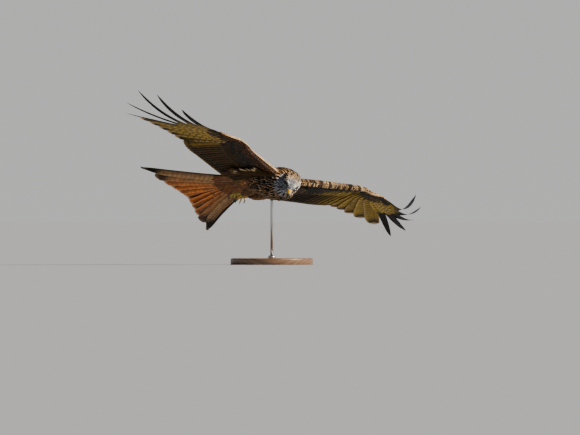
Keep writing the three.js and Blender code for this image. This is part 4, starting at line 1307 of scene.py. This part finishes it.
def wing_flight(wing):
    pile = Pile(PRIMARIES + SECONDARIES)
    for i in range(1, PRIMARIES + 1):
        root, way, up = wing.primary(i)
        finger = i > 5
        bend = wing.bend[i - 6] if finger else wing.bend[0] * 0.5 * (i / 6) ** 2

        def tilt(d, i=i):
            return min(0.4, SHINGLE / max(3, wing.primary_pitch(i, d)))

        shares = dict(outer_share=lambda u: plain_share(u, blunt=0.88),
                      inner_share=lambda u: plain_share(u, blunt=0.58))
        if finger:
            shares = dict(outer_share=lambda u: finger_share(u, 0.85), splits=1,
                          inner_share=lambda u: finger_share(u, 0.60))
        vane = long_vane(root, way, up, PRIMARY_LENGTH[i - 1], 11 if finger else 19,
                         29 if finger else 37, bend=bend, tilt=tilt, rows=72,
                         sag=1.2 if finger else 1.8, **shares)
        add_long(pile, vane, primary_paint(i, wing.side), wing)
    pitch = ARM * 0.96 / (SECONDARIES - 1)
    for k in range(SECONDARIES):
        t = mix(0.99, 0.03, k / (SECONDARIES - 1))
        length = mix(228, ARM_DEPTH - root_back(t), min(1, 3 * (1 - t))) * (0.93 if t < 0.12 else 1)
        root = (SHOULDER + wing.arm["out"] * ARM * t + wing.arm["back"] * (root_back(t) - 4))
        vane = long_vane(root, wing.secondary_way(t), wing.arm["up"], length, 19, 28, bend=-3,
                         tilt=lambda d: SHINGLE / pitch, rows=48, blunt=0.84)
        add_long(pile, vane, secondary_paint(t, 0.5 - 0.9 * k, wing.side), wing)
    side = wing.side
    pile.build(f"flight_feathers_{side}", "plumage_wing", WING_VANES,
               (f"wing_arm_{side}", f"wing_hand_{side}"))


def wing_great(wing):
    """Greater coverts on both faces, and the thumb's feathers over the front of the hand."""
    pile = Pile(2 * (ARM_GREAT + HAND_GREAT) + THUMB + AXILLARIES)
    small = dict(slant=0.3, splits=1, quill=0.8)
    for face in (1, -1):
        for k in range(ARM_GREAT):
            t = mix(0.985, 0.02, k / (ARM_GREAT - 1))
            root = (SHOULDER + wing.arm["out"] * ARM * t
                    + wing.arm["back"] * (root_back(t) - 20) + wing.arm["up"] * face * 2.5)
            vane = long_vane(root, wing.secondary_way(t), wing.arm["up"], 88 + 12 * (1 - t), 13, 18,
                             tilt=lambda d: 0.9 / 16, rows=26, sag=0.6, bend=-2, **small)
            add_long(pile, vane, covert_paint(1.0, t, face, wing.side), wing)
        for k in range(HAND_GREAT):
            i = mix(1.0, PRIMARIES - 0.4, k / (HAND_GREAT - 1))
            root, way, up = wing.primary(i)
            root = root + up * face * 2.6 - way * 12
            vane = long_vane(root, way, up, 64 + 3.4 * i, 10, 15, tilt=lambda d: 0.07, rows=24,
                             sag=0.5, **small)
            add_long(pile, vane, covert_paint(1.0, 1 + i / 11, face, wing.side), wing)
    for k in range(AXILLARIES):
        share = k / (AXILLARIES - 1)
        lean = math.radians(mix(62, 24, share))
        root = (SHOULDER + wing.arm["out"] * 6 + wing.arm["back"] * mix(8, 100, share)
                - wing.arm["up"] * mix(17, 8, share))
        way = unit(wing.arm["out"] * math.sin(lean) + wing.body_back() * math.cos(lean)
                   + wing.arm["up"] * mix(0.03, -0.02, share))
        reach = mix(92, 128, share) + rng.uniform(-13, 13)
        vane = long_vane(root, way, wing.arm["up"], reach, 9, 12, rows=30, sag=3.0,
                         blunt=rng.uniform(0.7, 0.86), **small)
        # Painted shade: the cream strokes of the left wing's axillaries are dimmed to a quarter.
        add_long(pile, vane, axillary_paint(1.0 if wing.side == "right" else 0.25), wing)
    for k in range(THUMB):
        hand = wing.hand
        way = unit(hand["out"] + hand["back"] * (0.10 + 0.06 * k) + hand["up"] * 0.05)
        root = (wing.wrist + hand["out"] * 4 + hand["back"] * (8 + 4 * k)
                + hand["up"] * (3.4 - 0.6 * k))
        vane = long_vane(root, way, hand["up"], 96 - 13 * k, 6, 12, tilt=lambda d: 0.06, rows=24,
                         sag=0.5, slant=0.3, splits=0, quill=0.8)
        add_long(pile, vane, thumb_paint(), wing)
    pile.build(f"greater_coverts_{wing.side}", "plumage_wing", WING_VANES)


def dress_wings():
    for side in ("left", "right"):
        wing = Wing(side)
        wing_flight(wing)
        wing_great(wing)
        gather_short(wing_coverts(wing), f"lesser_coverts_{side}", "plumage_wing")


# Tail

def rectrix_paint(rank):
    """A tail feather is orange in the middle of the fan and turns olive and black outside, with
    painted shade beside one edge and a painted glow of light through it.
    """
    tone = 1 + 0.10 * rng.normal()
    outer = float(np.interp(rank, [3.5, 5, 6], [0, 0.75, 1]))
    corner = float(np.interp(rank, [4, 5, 6], [0.15, 0.8, 1]))
    phase = rng.uniform(0, 6.28)
    painted_glow_at = rng.uniform(0.62, 0.86)
    shine = rng.uniform(0.3, 1.0)

    def ground(u, v, top):
        mottle = 0.5 + 0.5 * np.sin(8 * u + phase + 3 * v)
        base = blend(mix(BROWN, RUFOUS, 0.75) * tone, RUFOUS * 1.2, smooth(u, 0.2, 0.5))
        base = blend(base, ORANGE * tone, smooth(u, 0.45, 0.85) * (0.2 + 0.6 * mottle))
        # Painted shade: a dark band beside one edge of each vane.
        shade = smooth(v, -0.85, -0.1) * (0.55 + 0.45 * np.sin(5 * u + 2 * phase))
        base = blend(base, UMBER * 0.8, np.clip(shade, 0, 1) * 0.95)
        # Painted light: bright orange-gold lines across the vane and along its inner edge stand for
        # sunlight through the vane and on its edge.
        painted_glow = smooth(-np.abs(u - painted_glow_at), -0.16, -0.05) * smooth(-v, 0.45, 0.8)
        painted_glow = painted_glow + shine * smooth(-v, 0.78, 0.92) * smooth(u, 0.25, 0.5)
        base = blend(base, mix(ORANGE, GOLD, 0.22) * 1.15, np.clip(painted_glow, 0, 1) * (rank < 6))
        plain = blend(mix(BROWN, BUFF, 0.42) * 1.55 * tone, UMBER, 0.5 * smooth(v, -0.9, 0.1))
        base = blend(base, plain, outer)
        border = (rank == 6) * smooth(v, 0.15, 0.35) + 0 * u
        point = smooth(u, mix(0.93, 0.74, corner), mix(1.0, 0.86, corner)) * corner
        below = blend(base, BLACK, np.clip(border + point, 0, 1))
        above = blend(TAIL_TOP * tone, BROWN, 0.5 * border + 0.4 * outer)
        above = blend(above, DUSK, smooth(u, 0.88, 0.99) * (0.2 + 0.8 * corner))
        return blend(below, above, top)

    def bars(u, v, top):
        level = mix(0.20, 0.34, outer) - 0.12 * top
        return level * smooth(v, 0.5, 0.0) * smooth(u, 0.1, 0.3) * smooth(u, 0.92, 0.75)

    def edge(u, v, top):
        rim = np.maximum(0.9 * (1 - corner) * smooth(u, 0.93, 0.98), 0.35 * (1 - 0.5 * outer))
        return rim * (1 - 0.7 * top)

    return paint_with(ground, UMBER * 0.7, mix(ORANGE, CREAM, 0.62), 0.0, bars, edge)


def dress_tail():
    pile = Pile(RECTRICES)
    step = TAIL["spread"] / (RECTRICES - 1)
    for sign in (1, -1):
        for rank in range(1, RECTRICES // 2 + 1):
            corner = rank == 6 and sign < 0
            angle = math.radians(step * (rank - 0.5) + (RIGHT_CORNER["wider"] if corner else 0))
            topmost = rank == 1 and sign > 0

            def tilt(d, topmost=topmost):
                return 0 if topmost else min(0.35, SHINGLE / (TAIL["root"] + d * math.radians(step)))

            def limit(d, rank=rank, angle=angle, topmost=topmost):
                if topmost:
                    return np.full(len(d), 99.0)
                return np.maximum(2, TAIL["root"] * (rank - 0.5) + d * math.sin(angle) - 0.5)

            outermost = rank == 6
            shares = {}
            if outermost:
                shares = dict(outer_share=lambda u: np.maximum(plain_share(u), 0.6 * (u > 0.5)),
                              inner_share=lambda u: plain_share(u) * mix(1, 0.35, smooth(u, 0.7, 1)))
            reach = RECTRIX_LENGTH[rank - 1] + (RIGHT_CORNER["longer"] if corner else 0)
            root = np.array([-6, sign * TAIL["root"] * (rank - 0.5), 1.5 if topmost else 0])
            way = np.array([-math.cos(angle), sign * math.sin(angle), 0])
            vane = long_vane(root, way, np.array([0, 0, 1.0]), reach,
                             13 if outermost else 21, 27, side=-sign, bend=-2, tilt=tilt, rows=72,
                             inner_limit=limit, sag=1.5, blunt=0.9, splits=2,
                             curve=TAIL_CURVE * (rank / 6) ** 2, **shares)
            vane["verts"] = from_tail(vane["verts"])
            add_long(pile, vane, rectrix_paint(rank))
    pile.build("tail_feathers", "plumage_tail", TAIL_VANES, ("tail",))
    tail_coverts()


def tail_coverts():
    items = []
    step = math.radians(TAIL["spread"] / (RECTRICES - 1))
    for face in (1, -1):
        for row in range(TAIL_COVERT_ROWS):
            share = row / (TAIL_COVERT_ROWS - 1)
            count = int(mix(15, 13, share))
            for k in range(count):
                across = (k + 0.5 * (row % 2) + rng.uniform(-0.2, 0.2)) / (count - 0.5) * 2 - 1
                angle = across * step * mix(4.6, 5.3, share)
                start = mix(22, -52, share)
                length = mix(34, 66 if face > 0 else 84, share) * mix(1, 0.8, abs(across))
                length = length * rng.uniform(0.8, 1.1)
                y = across * mix(20, 31, share)
                places, normals = [], []
                for u in SHORT_U:
                    x = start - math.cos(angle) * length * u
                    deep = -x
                    core = float(np.interp(deep, [-14, 8, 30, 48, 60], [12, 11.5, 8, 5, 3.4]))
                    edge = math.sqrt(max(0.0, 1 - (0.93 * across) ** 2))
                    rise = max(core * edge, 2.7) + 0.8 * u + 0.4 * rng.random() * u
                    places.append([x, y + math.sin(angle) * length * u * 1.6, face * rise])
                    normals.append([0, 0.3 * across, face])
                tone = 1 + 0.14 * rng.normal()
                if face > 0:
                    ground = mix(RUFOUS, TAIL_TOP, share) * tone
                    paint = paint_with(ground, BROWN, BUFF, 0.14, 0.0, 0.35 * (1 - share))
                else:
                    ground = mix(mix(RUFOUS, BUFF, 0.3), mix(BROWN, RUFOUS, 0.6), share) * tone
                    paint = paint_with(ground, UMBER * 0.6, BUFF * 0.45, 0.14, 0.0, 0.35)
                chart = [0.05 + 0.9 * (across + 1) / 2,
                         0.04 + 0.42 * share + (0.5 if face > 0 else 0)]
                items.append((from_tail(np.array(places)), np.array(normals) @ TAIL_TURN.T,
                              mix(13, 17, share), plain_colours(paint), chart))
    gather_short(items, "tail_coverts", "plumage_tail")


# Head details

def painted_loft(name, rings, shade, slot, material, replaces=(), sculpt=None):
    points = np.array([np.asarray(r) for r in rings])
    level = np.array([shade(p) for p in points.reshape(-1, 3)])
    if sculpt:
        points = sculpt(points.reshape(-1, 3)).reshape(points.shape)
    mesh = loft_mesh(name, [to_world(from_head(r)) for r in points])
    made = piece(name, mesh, slot, material, replaces)
    set_colour(made.data, "ground", level.reshape(len(level), -1))
    return made


def nostrils(points):
    out = points.copy()
    for sign in (1, -1):
        d = (points - [33.2, sign * 7.8, 2.4]) / [2.4, 3.0, 1.5]
        near = np.clip(1 - np.sum(d * d, axis=1), 0, 1)
        out[:, 1] -= sign * 2.4 * near
    return out


def make_beak():
    horn = horn_material("horn", (0.58, 0.34, 0.04, 1), (0.012, 0.011, 0.011, 1))
    wax = waxy_material("cere_skin", (0.74, 0.38, 0.012, 1), (0.46, 0.22, 0.01, 1), 700.0)
    painted_loft("beak_upper", oval_rings(BILL_UPPER, 36, 2.1, 0, 7),
                 lambda p: float(smooth(p[0] - 0.5 * p[2], 39, 47)), "horn", horn, ("bill_upper",))
    painted_loft("beak_lower", oval_rings(BILL_LOWER, 28, 2.1, 0, 6),
                 lambda p: float(smooth(p[0], 37, 43)), "horn", horn, ("bill_lower",))

    def cere_colour(p):
        d = (p - [33.2, math.copysign(7.8, p[1]), 2.4]) / [2.0, 3.0, 1.2]
        # The nostrils are painted nearly black, as painted shade inside their openings.
        return np.array([0.72, 0.38, 0.015]) * (0.08 if d @ d < 1 else 1)

    sections = [(22, 0.3, 10.2, 8.9)] + CERE
    painted_loft("cere_fine", oval_rings(sections, 48, 2.1, 0.15, 12), cere_colour, "cere", wax,
                 ("cere",), nostrils)


def make_eyes():
    glass = eye_material()
    lid_skin = waxy_material("lid_skin", (0.05, 0.045, 0.04, 1), (0.02, 0.018, 0.015, 1), 1100.0)
    for side, sign in (("left", 1), ("right", -1)):
        gaze = unit(np.array([0.34, sign * 0.93, -0.04]))
        centre = np.array([EYE["x"], sign * EYE["y"], EYE["z"]])
        across = unit(np.cross(gaze, [0, 0, 1]))
        up = np.cross(across, gaze)
        around = np.linspace(0, 2 * math.pi, 48, endpoint=False)
        rings, level = [], []
        for a in np.linspace(0.02, math.pi - 0.02, 40):
            bulge = 1 + 0.05 * math.exp(-((a / 0.45) ** 2))
            ring = (centre + EYE["radius"] * (gaze * math.cos(a) * bulge + math.sin(a)
                    * (np.outer(np.cos(around), across) + np.outer(np.sin(around), up))))
            rings.append(ring)
            level += [min(a / 1.35, 1)] * 48
        mesh = loft_mesh(f"eyeball_{side}", [to_world(from_head(r)) for r in rings])
        made = piece(f"eyeball_{side}", mesh, "eye", glass, (f"eye_{side}",))
        set_colour(made.data, "ground", np.array(level)[:, None])
        make_lid(side, centre, gaze, across, up, lid_skin)


def make_lid(side, centre, gaze, across, up, material):
    """A rim of skin round the eye, thicker and lower above, as a closed ring."""
    verts, quads = [], []
    count, sides = 64, 12
    for k in range(count):
        a = 2 * math.pi * k / count
        out = across * math.cos(a) + up * math.sin(a)
        above = max(0.0, math.sin(a))
        open_to = 0.80 - 0.14 * above - 0.05 * abs(math.sin(a))
        middle = centre + EYE["radius"] * 1.02 * (out * math.sin(open_to + 0.16)
                                                  + gaze * math.cos(open_to + 0.16))
        for j in range(sides):
            b = 2 * math.pi * j / sides
            normal = unit(middle - centre)
            tangent = unit(np.cross(np.cross(out, gaze), normal))
            thick = 0.75 + 0.5 * above
            verts.append(middle + normal * math.cos(b) * thick + tangent * math.sin(b) * 1.35)
    for k in range(count):
        for j in range(sides):
            a, b = k * sides + j, k * sides + (j + 1) % sides
            c = ((k + 1) % count) * sides
            quads.append((a, b, c + (j + 1) % sides, c + j))
    made = mesh_object(f"eyelid_{side}", to_world(from_head(np.array(verts))), quads,
                       "plumage_head", material)
    outward(made.data)
    set_colour(made.data, "ground", [0.03, 0.027, 0.024])


# Feet

def foot_lines(sign):
    lines = [(np.array([(x, sign * y, z) for x, y, z, _ in SHANK]), [r for *_, r in SHANK])]
    ankle = lines[0][0][-1]
    claws = []
    for aim, length, curl in TOES:
        heading = math.radians(aim)

        def step(drop):
            return np.array([-math.cos(heading) * math.cos(drop),
                             sign * math.sin(heading) * math.cos(drop), -math.sin(drop)])

        points = [ankle]
        for k in range(1, 5):
            points.append(points[-1] + step(math.radians(curl * (k - 0.5))) * length / 4)
        lines.append((np.array(points), [4, 3.4, 3.2, 3, 2.7]))
        nail = [points[-1] - step(math.radians(curl * 3.5)) * 1.2]
        for k in range(5):
            nail.append(nail[-1] + step(math.radians(curl * 3.5 + 24 * max(0, k - 1))) * 3.4)
        claws.append((np.array(nail), [2.2, 2.25, 2, 1.6, 1, 0.2]))
    return lines, claws


def tubes(name, lines, per, sides, ridges=0.0):
    """One mesh of tubes along lines of points and radii, with low ridges across them."""
    whole = bmesh.new()
    for points, radii in lines:
        rows = finer(np.column_stack([points, radii]), per)
        scutes = 1 + ridges * np.abs(np.sin(np.arange(len(rows)) * 1.05))
        rings = tube_rings(rows[:, :3], rows[:, 3] * scutes, sides)
        whole.from_mesh(loft_mesh("part", [to_world(r) for r in rings]))
    mesh = bpy.data.meshes.new(name)
    whole.to_mesh(mesh)
    whole.free()
    return mesh


def make_feet():
    skin = waxy_material("foot_scales", (0.50, 0.35, 0.05, 1), (0.22, 0.13, 0.02, 1), 420.0)
    horn = horn_material("claw_horn", (0.05, 0.045, 0.04, 1), (0.012, 0.011, 0.011, 1))
    for side, sign in (("left", 1), ("right", -1)):
        lines, claws = foot_lines(sign)
        mesh = tubes(f"toes_{side}", lines, 9, 18, 0.07)
        piece(f"toes_{side}", mesh, "foot_skin", skin, (f"foot_{side}",))
        set_colour(mesh, "ground", [0.44, 0.30, 0.045])
        mesh = tubes(f"talons_{side}", claws, 6, 14)
        piece(f"talons_{side}", mesh, "horn", horn, tuple(f"claw_{side}_{k}" for k in range(1, 5)))
        set_colour(mesh, "ground", [0.7, 0.7, 0.7])


# Stand

def turned(name, profile, sides, slot, material, replaces):
    around = np.linspace(0, 2 * math.pi, sides, endpoint=False)
    rings = [np.stack([r * np.cos(around), r * np.sin(around), np.full(sides, z)], 1) * 0.001
             for r, z in profile]
    return piece(name, loft_mesh(name, rings), slot, material, replaces)


def make_stand():
    r, h, b = BASE["radius"], BASE["height"], BASE["bevel"]
    corner = [(r - b + b * math.sin(a), h - b + b * math.cos(a))
              for a in np.linspace(math.pi / 2, 0, 9)]
    profile = [(r - 1.2, 0), (r, 1.2)] + corner + [(20, h)]
    turned("base_turned", profile, 160, "stand_wood", wood_material(), ("stand_base",))
    steel = steel_material()
    c, ch = ROD["collar"], ROD["collar_height"]
    profile = [(c - 0.6, 0), (c, 0.6), (c, ch * 0.66), (c - 0.9, ch * 0.8), (c * 0.75, ch),
               (5.1, ch)]
    profile = [(x, h + GAP + z) for x, z in profile]
    turned("collar_turned", profile, 72, "stand_steel", steel, ("stand_collar",))
    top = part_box("stand_rod")[1][2] * 1000
    profile = [(ROD["radius"], h + GAP), (ROD["radius"], top - 6), (ROD["radius"], top)]
    turned("rod_turned", profile, 48, "stand_steel", steel, ("stand_rod",))


# Floor, light and camera

def make_stage():
    bpy.ops.mesh.primitive_plane_add(size=1200, location=(0, 0, 0))
    floor = bpy.context.object
    floor.name = "floor"
    floor.data.materials.append(Nodes("floor_pale").finish(FLOOR, 0.9))
    world = bpy.data.worlds.new("studio")
    bpy.context.scene.world = world
    world.use_nodes = True
    tree = world.node_tree
    where = tree.nodes.new("ShaderNodeTexCoord")
    height = tree.nodes.new("ShaderNodeSeparateXYZ")
    ramp = tree.nodes.new("ShaderNodeMapRange")
    ramp.inputs["From Max"].default_value = 0.35
    blended = tree.nodes.new("ShaderNodeMix")
    blended.data_type = "RGBA"
    blended.inputs[6].default_value = AIR_LOW
    blended.inputs[7].default_value = AIR_HIGH
    tree.links.new(where.outputs["Generated"], height.inputs[0])
    tree.links.new(height.outputs[2], ramp.inputs["Value"])
    tree.links.new(ramp.outputs[0], blended.inputs[0])
    tree.links.new(blended.outputs[2], tree.nodes["Background"].inputs["Color"])


def make_light():
    data = bpy.data.lights.new("key", "SUN")
    data.energy = KEY_STRENGTH
    data.angle = math.radians(KEY_ANGLE)
    data.color = (1.0, 0.90, 0.76)
    made = bpy.data.objects.new("key", data)
    made.rotation_euler = Vector(KEY_FROM).to_track_quat("Z", "Y").to_euler()
    bpy.context.scene.collection.objects.link(made)


def make_camera():
    data = bpy.data.cameras.new("camera")
    data.sensor_width = SENSOR
    data.lens = SENSOR * CAMERA_FAR / SHOWN_WIDTH
    data.clip_start = 1
    data.clip_end = 2000
    made = bpy.data.objects.new("camera", data)
    x, y, z = to_world([0, 0, 0])
    made.location = (x + AXIS_RIGHT, y - CAMERA_FAR, z - AXIS_DOWN)
    made.rotation_euler = (math.radians(90), 0, 0)
    bpy.context.scene.collection.objects.link(made)
    bpy.context.scene.camera = made


make_camera()
make_stage()
make_light()
make_stand()
make_beak()
make_eyes()
make_feet()
dress_wings()
dress_tail()
dress_body()
finish_skin()
for mesh in FLESH.values():
    bpy.data.meshes.remove(mesh)
